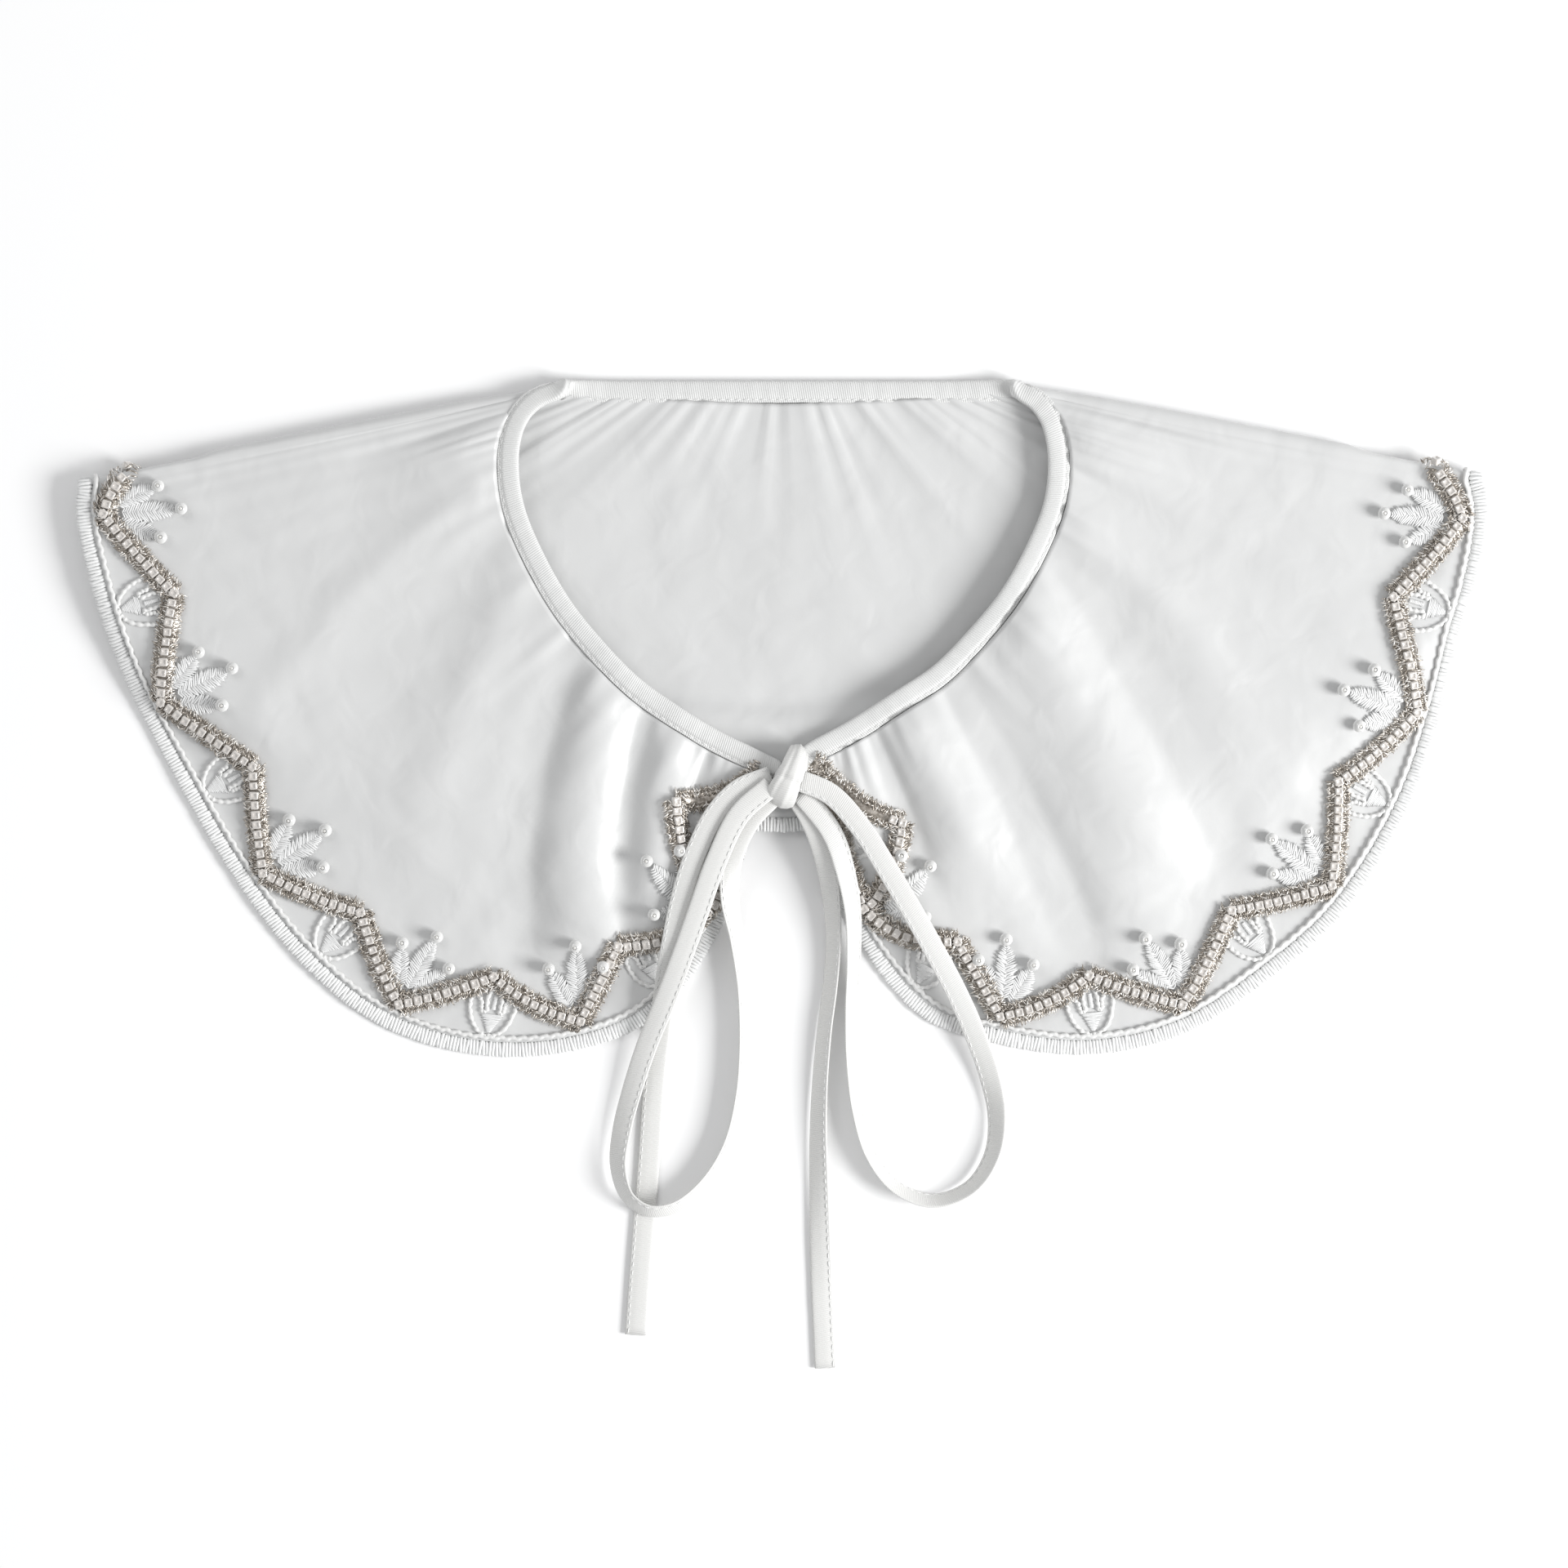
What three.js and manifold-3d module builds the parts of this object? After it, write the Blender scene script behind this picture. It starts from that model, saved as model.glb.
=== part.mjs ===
// A detachable cape collar of white satin, lying flat: two fronts folded over the back at the shoulders,
// a bias strip round the neck edge tied in a bow, an overlocked hem and a zigzag beaded trim with pearls.
// Millimetres, +Z up. X is across the shoulders, Y runs from the bow to the back neck, and the collar
// lies on the plane z = 0 with the middle of its cape over the origin.
import * as THREE from 'three';
import { mergeVertices } from 'three/addons/utils/BufferGeometryUtils.js';
import Module from 'manifold-3d';

const wasm = await Module();
wasm.setup();

// Driving dimensions of the cape
const COLLAR_WIDTH = 408; // across the two shoulder folds
const COLLAR_DEPTH = 195.5; // from the back neck edge to the lowest point of the front hems
const NECK_WIDTH = 159; // across the middle of the neck binding
const NECK_DROP = 107.5; // from the back neck to the front corners
const CLOTH = 1; // wall of the satin
const CLEARANCE = 0.3; // gap between pieces that are sewn together
const SEAM_SLACK = 0.2; // the cloth stops this much shorter still at its seams

// Heights of the cloth's middle surface above the table
const BACK_LIES = CLOTH / 2;
const BACK_NECK_RISE = 1.5;
const FOLD_NECK_RISE = 2.2; // lower layer at the neck end of a shoulder fold
const FOLD_NECK_BEND = 2.4; // the upper layer there, above the lower one
const FRONT_GAP = 1.3; // air between the front and the raised hem of the back
const FRONT_NECK_RISE = 6.6;
const DRAPE_RUN = 22; // the shortest over which a front comes down past the back's hem
const LONG_DRAPE = 48; // the longest, where the front reaches far past it
const HEM_SLOPE = 0.6; // the hem lies this much lower than the cloth over the trim

// Neck binding, hem edging and trim
const BINDING_WIDTH = 6.4;
const BINDING_THICK = 2.4;
const EDGING_WIDTH = 4;
const EDGING_THICK = 1.6;
const TRIM_WIDTH = 6.3;
const TRIM_THICK = 2;
const TRIM_SEAT = 0.55; // the braid's threads hold it this far off the cloth
const TABLE_CLEAR = 0.1; // under the trim of the back
const FIRST_TIP = 35.2; // from the front corner to the first outer tip, along the hem
const TIP_PITCH = 59.2; // between two outer tips of a front
const FRONT_TIPS = 6;
const BACK_STEPS = 8; // zigzag steps between the last tips of the two fronts
const OUTER_INSET = 7.8; // from the hem to the middle of the trim at an outer tip
const INNER_INSET = 22.8;
const CORNER_INNER = 24; // along the hem, the inner tip next to the front corner
const TRIM_START = { s: 1, t: 0.1 }; // where the trim goes in under the binding, as a place on the cloth

// Pearls
const PEARL = 3.4; // diameter
const PEARL_SEAT = 0.45; // its thread holds it this far off the cloth
const PEARL_MIDDLE = 22.6; // from the outer tip to the middle pearl
const PEARL_SIDE = 17.8;
const PEARL_SPREAD = 29; // degrees between the middle pearl and each side one
const PEARL_LEAN = 42; // degrees that the three next to the bow are turned away from it

// Tie
const TIE_WIDTH = 6.2;
const TIE_THICK = 1;
const TIE_STEPS = 0.95; // sections of the tie for each point of its route
const KNOT_LENGTH = 17;
const KNOT_WIDTH = 9;
const KNOT_HEIGHT = 7.4;
const KNOT_LEAN = 27; // degrees from straight up the front, towards the right
const FRONT_CORNER_Y = (COLLAR_DEPTH - BINDING_WIDTH) / 2 - NECK_DROP;
const KNOT_PLACE = new THREE.Vector3(1.5, FRONT_CORNER_Y - 3.65, FRONT_NECK_RISE + 3.2);

// Mesh steps
const FRONT_STEPS = 22;
const BACK_HALF_STEPS = 10;
const ARC_STEPS = 4;
const LEG_STEPS = 2;
const BINDING_STEP = 5.8; // mm between two sections of the binding
const TURN_SPREAD = 1.6; // sections over which the binding turns at a shoulder fold

// Sections of a front from the shoulder fold to the front corner. The neck columns are shares of half the
// neck width and of the neck drop, the hem columns of half the collar width and of the collar depth.
const LEFT_FRONT = [
  { neckOut: 0.802, neckDown: -0.003, hemOut: 0.996, hemDown: 0.157 },
  { neckOut: 0.879, neckDown: 0.011, hemOut: 0.999, hemDown: 0.183 },
  { neckOut: 0.945, neckDown: 0.051, hemOut: 0.996, hemDown: 0.22 },
  { neckOut: 0.986, neckDown: 0.115, hemOut: 0.983, hemDown: 0.282 },
  { neckOut: 0.998, neckDown: 0.207, hemOut: 0.96, hemDown: 0.364 },
  { neckOut: 0.977, neckDown: 0.316, hemOut: 0.917, hemDown: 0.475 },
  { neckOut: 0.909, neckDown: 0.441, hemOut: 0.859, hemDown: 0.592 },
  { neckOut: 0.802, neckDown: 0.58, hemOut: 0.784, hemDown: 0.726 },
  { neckOut: 0.678, neckDown: 0.694, hemOut: 0.689, hemDown: 0.855 },
  { neckOut: 0.544, neckDown: 0.794, hemOut: 0.576, hemDown: 0.95 },
  { neckOut: 0.411, neckDown: 0.865, hemOut: 0.443, hemDown: 0.995 },
  { neckOut: 0.292, neckDown: 0.92, hemOut: 0.31, hemDown: 0.993 },
  { neckOut: 0.194, neckDown: 0.959, hemOut: 0.191, hemDown: 0.948 },
  { neckOut: 0.129, neckDown: 0.981, hemOut: 0.112, hemDown: 0.853 },
  { neckOut: 0.09, neckDown: 0.996, hemOut: 0.058, hemDown: 0.712 },
  { neckOut: 0.07, neckDown: 1.003, hemOut: 0.028, hemDown: 0.614 },
];
const RIGHT_FRONT = [
  { neckOut: 0.85, neckDown: -0.003, hemOut: 0.99, hemDown: 0.147 },
  { neckOut: 0.909, neckDown: 0.016, hemOut: 0.997, hemDown: 0.18 },
  { neckOut: 0.962, neckDown: 0.06, hemOut: 0.996, hemDown: 0.228 },
  { neckOut: 0.992, neckDown: 0.125, hemOut: 0.98, hemDown: 0.309 },
  { neckOut: 1.001, neckDown: 0.213, hemOut: 0.961, hemDown: 0.373 },
  { neckOut: 0.983, neckDown: 0.31, hemOut: 0.93, hemDown: 0.509 },
  { neckOut: 0.924, neckDown: 0.419, hemOut: 0.885, hemDown: 0.638 },
  { neckOut: 0.823, neckDown: 0.553, hemOut: 0.794, hemDown: 0.788 },
  { neckOut: 0.701, neckDown: 0.663, hemOut: 0.695, hemDown: 0.88 },
  { neckOut: 0.568, neckDown: 0.762, hemOut: 0.569, hemDown: 0.965 },
  { neckOut: 0.435, neckDown: 0.827, hemOut: 0.435, hemDown: 0.996 },
  { neckOut: 0.316, neckDown: 0.884, hemOut: 0.308, hemDown: 0.981 },
  { neckOut: 0.227, neckDown: 0.924, hemOut: 0.198, hemDown: 0.941 },
  { neckOut: 0.159, neckDown: 0.95, hemOut: 0.113, hemDown: 0.837 },
  { neckOut: 0.117, neckDown: 0.966, hemOut: 0.066, hemDown: 0.724 },
  { neckOut: 0.093, neckDown: 0.979, hemOut: 0.027, hemDown: 0.626 },
];
// Sections of half the back from the shoulder fold, whose own row comes from the front, to the middle
const BACK_HALF = [
  { neckOut: 0.707, neckDown: -0.002, hemOut: 0.967, hemDown: 0.234 },
  { neckOut: 0.612, neckDown: 0, hemOut: 0.906, hemDown: 0.34 },
  { neckOut: 0.5, neckDown: 0, hemOut: 0.807, hemDown: 0.439 },
  { neckOut: 0.381, neckDown: 0, hemOut: 0.663, hemDown: 0.526 },
  { neckOut: 0.248, neckDown: 0, hemOut: 0.484, hemDown: 0.598 },
  { neckOut: 0.114, neckDown: 0, hemOut: 0.253, hemDown: 0.648 },
  { neckOut: 0, neckDown: 0, hemOut: 0, hemDown: 0.667 },
];
// Stations from the neck to the hem: the share of the section's length, and how far the back is lifted
// there by the trim that lies under it, as a share of that lift
const STATIONS = [
  { share: 0, lifted: 0 },
  { share: 0.1, lifted: 0 },
  { share: 0.22, lifted: 0 },
  { share: 0.36, lifted: 0 },
  { share: 0.53, lifted: 0 },
  { share: 0.7, lifted: 0 },
  { share: 0.765, lifted: 1 },
  { share: 0.87, lifted: 1 },
  { share: 0.945, lifted: 1 },
  { share: 1, lifted: 1 },
];

// Soft ridges of a front: where the crest starts at the neck and ends at the hem, counted in sections
// from the shoulder, its half width in sections, its height in mm and the share of the length it takes
const LEFT_RIDGES = [
  { neckAt: 8.5, hemAt: 11.8, halfWidth: 0.65, height: 3.4, reach: 0.85 },
  { neckAt: 10.3, hemAt: 12.4, halfWidth: 0.55, height: 2.9, reach: 0.85 },
  { neckAt: 3.2, hemAt: 4, halfWidth: 1.3, height: 2.2, reach: 0.4 },
];
const RIGHT_RIDGES = [
  { neckAt: 7, hemAt: 9.1, halfWidth: 0.75, height: 3.5, reach: 0.9 },
  { neckAt: 10.1, hemAt: 10.3, halfWidth: 0.6, height: 3.2, reach: 0.62 },
  { neckAt: 2.6, hemAt: 3, halfWidth: 1.1, height: 2, reach: 0.4 },
];

// Routes of the tie from the knot, in mm: y counts from the front corners of the neck, z from the table,
// and roll is the turn about the route, 0 lying flat, 90 on edge
const LEFT_LOOP = [
  { x: -3.4, y: -6.45, z: 11.6, roll: 0 },
  { x: -12.4, y: -14.55, z: 11.8, roll: 0 },
  { x: -19.2, y: -28.25, z: 11.8, roll: 0 },
  { x: -24.6, y: -43.35, z: 11.2, roll: 0 },
  { x: -29.2, y: -56.05, z: 9.6, roll: 0 },
  { x: -34.2, y: -69.05, z: 7, roll: 4 },
  { x: -39, y: -80.55, z: 4.6, roll: 10 },
  { x: -43.2, y: -93.05, z: 3.5, roll: 18 },
  { x: -46.6, y: -106.05, z: 3.4, roll: 28 },
  { x: -47.6, y: -116.55, z: 3.8, roll: 42 },
  { x: -44.8, y: -125.05, z: 4.5, roll: 52 },
  { x: -38.6, y: -129.05, z: 4.8, roll: 56 },
  { x: -31, y: -128.05, z: 4.4, roll: 56 },
  { x: -22.6, y: -121.65, z: 3.3, roll: 54 },
  { x: -15.6, y: -110.55, z: 3, roll: 54 },
  { x: -12, y: -96.05, z: 3, roll: 56 },
  { x: -11, y: -80.05, z: 3, roll: 60 },
  { x: -11.6, y: -64.05, z: 3.1, roll: 60 },
  { x: -13.4, y: -50.05, z: 4, roll: 50 },
  { x: -15.4, y: -38.05, z: 7, roll: 28 },
  { x: -14.4, y: -26.55, z: 9.2, roll: 6 },
  { x: -9.6, y: -16.45, z: 9.4, roll: 0 },
  { x: -1.6, y: -8.05, z: 8.9, roll: 0 },
];
const LEFT_END = [
  { x: -3.4, y: -3.65, z: 10.2, roll: 0 },
  { x: -12.6, y: -7.45, z: 10.3, roll: 0 },
  { x: -19.8, y: -15.05, z: 10.3, roll: 0 },
  { x: -25.4, y: -26.65, z: 10.1, roll: 0 },
  { x: -29.2, y: -38.65, z: 9.6, roll: 2 },
  { x: -31.8, y: -51.05, z: 8.6, roll: 0 },
  { x: -33.8, y: -63.05, z: 5.6, roll: 0 },
  { x: -35.4, y: -75.05, z: 2, roll: 0 },
  { x: -36.9, y: -88.05, z: 0.7, roll: 0 },
  { x: -37.9, y: -101.05, z: 0.7, roll: 0 },
  { x: -38.8, y: -115.05, z: 0.7, roll: 0 },
  { x: -39.9, y: -129.05, z: 0.7, roll: 0 },
  { x: -41.2, y: -145.05, z: 0.7, roll: 0 },
  { x: -42.6, y: -165.25, z: 0.7, roll: 0 },
];
const RIGHT_LOOP = [
  { x: 4.4, y: -4.65, z: 11.6, roll: 0 },
  { x: 13.8, y: -8.85, z: 11.8, roll: 0 },
  { x: 22.6, y: -18.65, z: 11.8, roll: 0 },
  { x: 29.6, y: -29.65, z: 11.4, roll: 0 },
  { x: 36.4, y: -41.05, z: 10.6, roll: 0 },
  { x: 43.2, y: -53.05, z: 9, roll: 0 },
  { x: 49.6, y: -65.05, z: 7, roll: 2 },
  { x: 55, y: -77.05, z: 4.8, roll: 6 },
  { x: 59.6, y: -90.05, z: 2.8, roll: 16 },
  { x: 61.8, y: -102.05, z: 2.6, roll: 34 },
  { x: 60.2, y: -113.45, z: 3, roll: 46 },
  { x: 54, y: -122.45, z: 3.2, roll: 52 },
  { x: 43.4, y: -126.25, z: 3.2, roll: 54 },
  { x: 33, y: -122.45, z: 3.2, roll: 56 },
  { x: 25.6, y: -113.45, z: 3.2, roll: 60 },
  { x: 21.6, y: -101.05, z: 3.2, roll: 62 },
  { x: 19.9, y: -87.05, z: 3.2, roll: 60 },
  { x: 19.6, y: -73.05, z: 3.3, roll: 58 },
  { x: 20.4, y: -57.05, z: 4.6, roll: 50 },
  { x: 20.2, y: -43.05, z: 7.6, roll: 40 },
  { x: 18, y: -31.05, z: 9.6, roll: 24 },
  { x: 14, y: -19.65, z: 10.1, roll: 10 },
  { x: 5, y: -8.05, z: 10.2, roll: 0 },
];
const RIGHT_END = [
  { x: 2.6, y: -7.45, z: 8.9, roll: 0 },
  { x: 8, y: -16.05, z: 8.8, roll: 0 },
  { x: 12, y: -27.05, z: 8.2, roll: 12 },
  { x: 14, y: -39.05, z: 6.4, roll: 36 },
  { x: 14.6, y: -51.05, z: 4.2, roll: 48 },
  { x: 13.8, y: -63.05, z: 3, roll: 50 },
  { x: 12, y: -77.05, z: 2.9, roll: 50 },
  { x: 10.7, y: -92.05, z: 2.8, roll: 46 },
  { x: 10.2, y: -107.05, z: 2.5, roll: 38 },
  { x: 10.4, y: -122.05, z: 2, roll: 26 },
  { x: 10.8, y: -137.05, z: 1.4, roll: 12 },
  { x: 11.4, y: -155.05, z: 0.7, roll: 0 },
  { x: 12.3, y: -174.85, z: 0.7, roll: 0 },
];

// A closed solid through rings of points, with its faces turned outward
function loftRings(rings) {
  const sides = rings[0].length;
  const positions = rings.flat().flatMap((p) => [p.x, p.y, p.z]);
  const faces = [];
  for (let i = 0; i < rings.length - 1; i += 1) {
    for (let k = 0; k < sides; k += 1) {
      const a = i * sides + k;
      const b = i * sides + ((k + 1) % sides);
      faces.push(a, b, b + sides, a, b + sides, a + sides);
    }
  }
  const last = (rings.length - 1) * sides;
  capRing(faces, rings[0], 0, true);
  capRing(faces, rings[rings.length - 1], last, false);
  const geometry = new THREE.BufferGeometry();
  geometry.setAttribute('position', new THREE.Float32BufferAttribute(positions, 3));
  geometry.setIndex(signedVolume(positions, faces) < 0 ? faces.reverse() : faces);
  return geometry;
}

function signedVolume(positions, faces) {
  const corner = (k) => new THREE.Vector3().fromArray(positions, faces[k] * 3);
  let volume = 0;
  for (let k = 0; k < faces.length; k += 3) {
    volume += corner(k).dot(corner(k + 1).cross(corner(k + 2))) / 6;
  }
  return volume;
}

// The end face of a loft as a ladder between the two long sides of its ring
function capRing(faces, ring, start, reversed) {
  let low = 0;
  let high = ring.length - 1;
  while (high - low > 1) {
    const triangles = [[low, low + 1, high]];
    if (high - low > 2) {
      triangles.push([low + 1, high - 1, high]);
    }
    for (const [a, b, c] of triangles) {
      if (reversed) {
        faces.push(start + a, start + c, start + b);
      } else {
        faces.push(start + a, start + b, start + c);
      }
    }
    low += 1;
    high -= 1;
  }
}

function toSolid(geometry) {
  const merged = mergeVertices(geometry, 1e-4);
  const mesh = new wasm.Mesh({
    numProp: 3,
    vertProperties: new Float32Array(merged.attributes.position.array),
    triVerts: new Uint32Array(merged.index.array),
  });
  return new wasm.Manifold(mesh);
}

function toGeometry(solid) {
  const mesh = solid.getMesh();
  const geometry = new THREE.BufferGeometry();
  geometry.setAttribute('position', new THREE.Float32BufferAttribute(mesh.vertProperties, 3));
  geometry.setIndex(Array.from(mesh.triVerts));
  return geometry;
}

// The biggest piece that a cut leaves
function biggestPiece(solid) {
  return solid.decompose().sort((a, b) => b.volume() - a.volume())[0];
}

// The cape is a strip of sections, each a line of points of the cloth's middle surface from neck to hem.
const TRIM_LIFT = TRIM_SEAT + TRIM_THICK + TABLE_CLEAR; // the back's hem stands on the trim under it
const OVER_BACK = BACK_LIES + TRIM_LIFT + CLOTH + FRONT_GAP;
const FOLD_NECK_TOP = FOLD_NECK_RISE + FOLD_NECK_BEND;

function planNeck(row, side) {
  const y = COLLAR_DEPTH / 2 - BINDING_WIDTH / 2 - row.neckDown * NECK_DROP;
  return new THREE.Vector3(side * row.neckOut * NECK_WIDTH / 2, y, 0);
}

function planHem(row, side) {
  return new THREE.Vector3(side * row.hemOut * COLLAR_WIDTH / 2, COLLAR_DEPTH * (0.5 - row.hemDown), 0);
}

function smooth(x) {
  const c = THREE.MathUtils.clamp(x, 0, 1);
  return c * c * (3 - 2 * c);
}

function planCurves(rows, side) {
  return {
    neck: new THREE.CatmullRomCurve3(rows.map((row) => planNeck(row, side))),
    hem: new THREE.CatmullRomCurve3(rows.map((row) => planHem(row, side))),
    last: rows.length - 1,
  };
}

// Where the straight line from a to b first crosses a line of points, as a share of its length
function crossing(a, b, line) {
  const run = b.clone().sub(a);
  for (let i = 1; i < line.length; i += 1) {
    const p = line[i - 1];
    const q = line[i];
    const along = q.clone().sub(p);
    const turn = run.x * along.y - run.y * along.x;
    const toStart = p.clone().sub(a);
    const share = (toStart.x * along.y - toStart.y * along.x) / turn;
    const other = (toStart.x * run.y - toStart.y * run.x) / turn;
    if (share > 0 && share < 1 && other >= 0 && other <= 1) {
      return share;
    }
  }
  return 2;
}

function ridgeHeight(ridges, section, share) {
  let height = 0;
  for (const ridge of ridges) {
    const crest = ridge.neckAt + (ridge.hemAt - ridge.neckAt) * share;
    const across = Math.exp(-(((section - crest) / ridge.halfWidth) ** 2));
    const along = smooth(share / 0.15 + 0.3) * smooth((ridge.reach - share) / 0.3);
    height += ridge.height * across * along;
  }
  return height;
}

function backHeight(station, fromFold) {
  const rise = THREE.MathUtils.lerp(FOLD_NECK_RISE, BACK_NECK_RISE, smooth(fromFold / 2));
  const atNeck = (rise - BACK_LIES) * smooth(1 - station.share / 0.2);
  const hemDrop = station.share === 1 ? HEM_SLOPE : 0;
  return BACK_LIES + atNeck + station.lifted * TRIM_LIFT - hemDrop;
}

function frontHeight(station, fromFold, cross, runLength, ridges, section) {
  const rise = THREE.MathUtils.lerp(FOLD_NECK_TOP, FRONT_NECK_RISE, smooth(fromFold / 3));
  const atNeck = (rise - OVER_BACK) * smooth(1 - station.share / 0.4);
  const past = (station.share - cross) * runLength;
  const tableLevel = station.share === 1 ? EDGING_THICK / 2 : CLOTH / 2;
  const room = THREE.MathUtils.clamp(0.8 * (1 - cross) * runLength, DRAPE_RUN, LONG_DRAPE);
  const down = smooth((past - 4) / room);
  const lying = THREE.MathUtils.lerp(OVER_BACK, tableLevel, down);
  return lying + atNeck * (1 - down) + ridgeHeight(ridges, section, station.share);
}

function layBack(side, foldRow) {
  const curves = planCurves([foldRow, ...BACK_HALF], side);
  const sections = [];
  for (let i = 0; i <= BACK_HALF_STEPS; i += 1) {
    const u = i / BACK_HALF_STEPS;
    const neck = curves.neck.getPoint(u);
    const hem = curves.hem.getPoint(u);
    sections.push(STATIONS.map((station) => {
      const point = neck.clone().lerp(hem, station.share);
      point.z = backHeight(station, u * curves.last);
      return point;
    }));
  }
  return sections;
}

function layFront(rows, side, ridges, backHem) {
  const curves = planCurves(rows, side);
  const sections = [];
  for (let i = 0; i <= FRONT_STEPS; i += 1) {
    const u = i / FRONT_STEPS;
    const neck = curves.neck.getPoint(u);
    const hem = curves.hem.getPoint(u);
    const cross = crossing(neck, hem, backHem);
    sections.push(STATIONS.map((station) => {
      const point = neck.clone().lerp(hem, station.share);
      point.z = frontHeight(station, u * curves.last, cross, neck.distanceTo(hem), ridges, u * curves.last);
      return point;
    }));
  }
  return sections;
}

// The rounded shoulder fold from the back's first section up and over to the front's
function layFold(lower, upper) {
  const along = upper[upper.length - 1].clone().sub(upper[0]).setZ(0).normalize();
  const outward = new THREE.Vector3(-along.y, along.x, 0);
  if (outward.y < 0) {
    outward.negate();
  }
  const sections = [];
  for (let i = 1; i < ARC_STEPS; i += 1) {
    const angle = Math.PI * (i / ARC_STEPS - 0.5);
    sections.push(lower.map((low, j) => {
      const middle = low.clone().add(upper[j]).multiplyScalar(0.5);
      const radius = (upper[j].z - low.z) / 2;
      middle.addScaledVector(outward, radius * Math.cos(angle));
      middle.z += radius * Math.sin(angle);
      return middle;
    }));
  }
  return sections;
}

const leftBack = layBack(-1, LEFT_FRONT[0]);
const rightBack = layBack(1, RIGHT_FRONT[0]);
const backHem = [...leftBack, ...rightBack.slice().reverse()].map((section) => section[section.length - 1]);
const leftFront = layFront(LEFT_FRONT, -1, LEFT_RIDGES, backHem);
const rightFront = layFront(RIGHT_FRONT, 1, RIGHT_RIDGES, backHem);
const strip = [
  ...leftFront.slice().reverse(),
  ...layFold(leftBack[0], leftFront[0]).reverse(),
  ...leftBack,
  ...rightBack.slice(0, -1).reverse(),
  ...layFold(rightBack[0], rightFront[0]),
  ...rightFront,
];
const LEFT_FOLD_AT = FRONT_STEPS + ARC_STEPS / 2;
const RIGHT_FOLD_AT = strip.length - 1 - LEFT_FOLD_AT;
const stationShares = STATIONS.map((station) => station.share);

// A point of the cloth's middle surface: s counts sections along the strip, t is the share from neck to hem
function clothPoint(s, t) {
  const i = THREE.MathUtils.clamp(Math.floor(s), 0, strip.length - 2);
  let j = 0;
  while (j < stationShares.length - 2 && stationShares[j + 1] < t) {
    j += 1;
  }
  const u = s - i;
  const v = (t - stationShares[j]) / (stationShares[j + 1] - stationShares[j]);
  const inner = strip[i][j].clone().lerp(strip[i + 1][j], u);
  const outer = strip[i][j + 1].clone().lerp(strip[i + 1][j + 1], u);
  return inner.lerp(outer, v);
}

// The cloth's directions at a point: along the strip, from neck to hem, and out of its right side
function clothFrame(s, t) {
  const stepS = 0.35;
  const stepT = 0.03;
  const s0 = Math.max(s - stepS, 0);
  const s1 = Math.min(s + stepS, strip.length - 1);
  const t0 = Math.max(t - stepT, 0);
  const t1 = Math.min(t + stepT, 1);
  const along = clothPoint(s1, t).sub(clothPoint(s0, t)).divideScalar(s1 - s0);
  const down = clothPoint(s, t1).sub(clothPoint(s, t0)).divideScalar(t1 - t0);
  const normal = new THREE.Vector3().crossVectors(along, down).normalize();
  return { along, down, normal };
}

// Moves a surface point by a vector that lies in the cloth
function slideOnCloth(s, t, move) {
  const { along, down } = clothFrame(s, t);
  const aa = along.dot(along);
  const ad = along.dot(down);
  const dd = down.dot(down);
  const am = along.dot(move);
  const dm = down.dot(move);
  const det = aa * dd - ad * ad;
  return { s: s + (am * dd - dm * ad) / det, t: t + (dm * aa - am * ad) / det };
}

// How far along a section the cloth itself starts, beside the binding, and ends, beside the edging
function seamShare(i, atHem) {
  const { along, down } = clothFrame(i, atHem ? 0.99 : 0.02);
  const seam = CLEARANCE + SEAM_SLACK + (atHem ? EDGING_WIDTH : BINDING_WIDTH / 2);
  const square = new THREE.Vector3().crossVectors(along, down).length() / along.length();
  return seam / square;
}

function layCloth(wall) {
  const last = stationShares.length - 1;
  const rings = strip.map((section, i) => {
    const right = [];
    const wrong = [];
    const shares = [...stationShares];
    shares[0] = Math.min(seamShare(i, false), stationShares[1] * 0.8);
    shares[last] = Math.max(1 - seamShare(i, true), (stationShares[last - 1] + 1) / 2);
    shares.forEach((share) => {
      const point = clothPoint(i, share);
      const { normal } = clothFrame(i, share);
      right.push(point.clone().addScaledVector(normal, wall / 2));
      wrong.push(point.clone().addScaledVector(normal, -wall / 2));
    });
    return [...right, ...wrong.reverse()];
  });
  return loftRings(rings);
}

// A band swept along a path: each stop has a place and the direction out of its face
function sweepBand(stops, section) {
  const rings = stops.map((stop, i) => {
    const before = stops[Math.max(i - 1, 0)].place;
    const after = stops[Math.min(i + 1, stops.length - 1)].place;
    const travel = after.clone().sub(before).normalize();
    const up = stop.up.clone().addScaledVector(travel, -stop.up.dot(travel)).normalize();
    const side = new THREE.Vector3().crossVectors(travel, up);
    return section.map(([across, high]) => {
      return stop.place.clone().addScaledVector(side, across).addScaledVector(up, high);
    });
  });
  return loftRings(rings);
}

// An eight-sided section of a soft flat band, counter-clockwise seen from its start
function bandSection(width, thick, grow = 0) {
  const half = width / 2 + grow;
  const flat = width / 2 - thick * 0.35;
  const high = thick / 2 + grow;
  const low = thick * 0.22 + grow * 0.7;
  return [
    [half, low], [flat, high], [-flat, high], [-half, low],
    [-half, -low], [-flat, -high], [flat, -high], [half, -low],
  ];
}

// A six-sided section of the thin overlocked edge
function edgeSection(width, thick, grow = 0) {
  const half = width / 2 + grow;
  const flat = width / 2 - thick * 0.3;
  const high = thick / 2 + grow;
  return [[half, 0], [flat, high], [-flat, high], [-half, 0], [-flat, -high], [flat, -high]];
}

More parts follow.
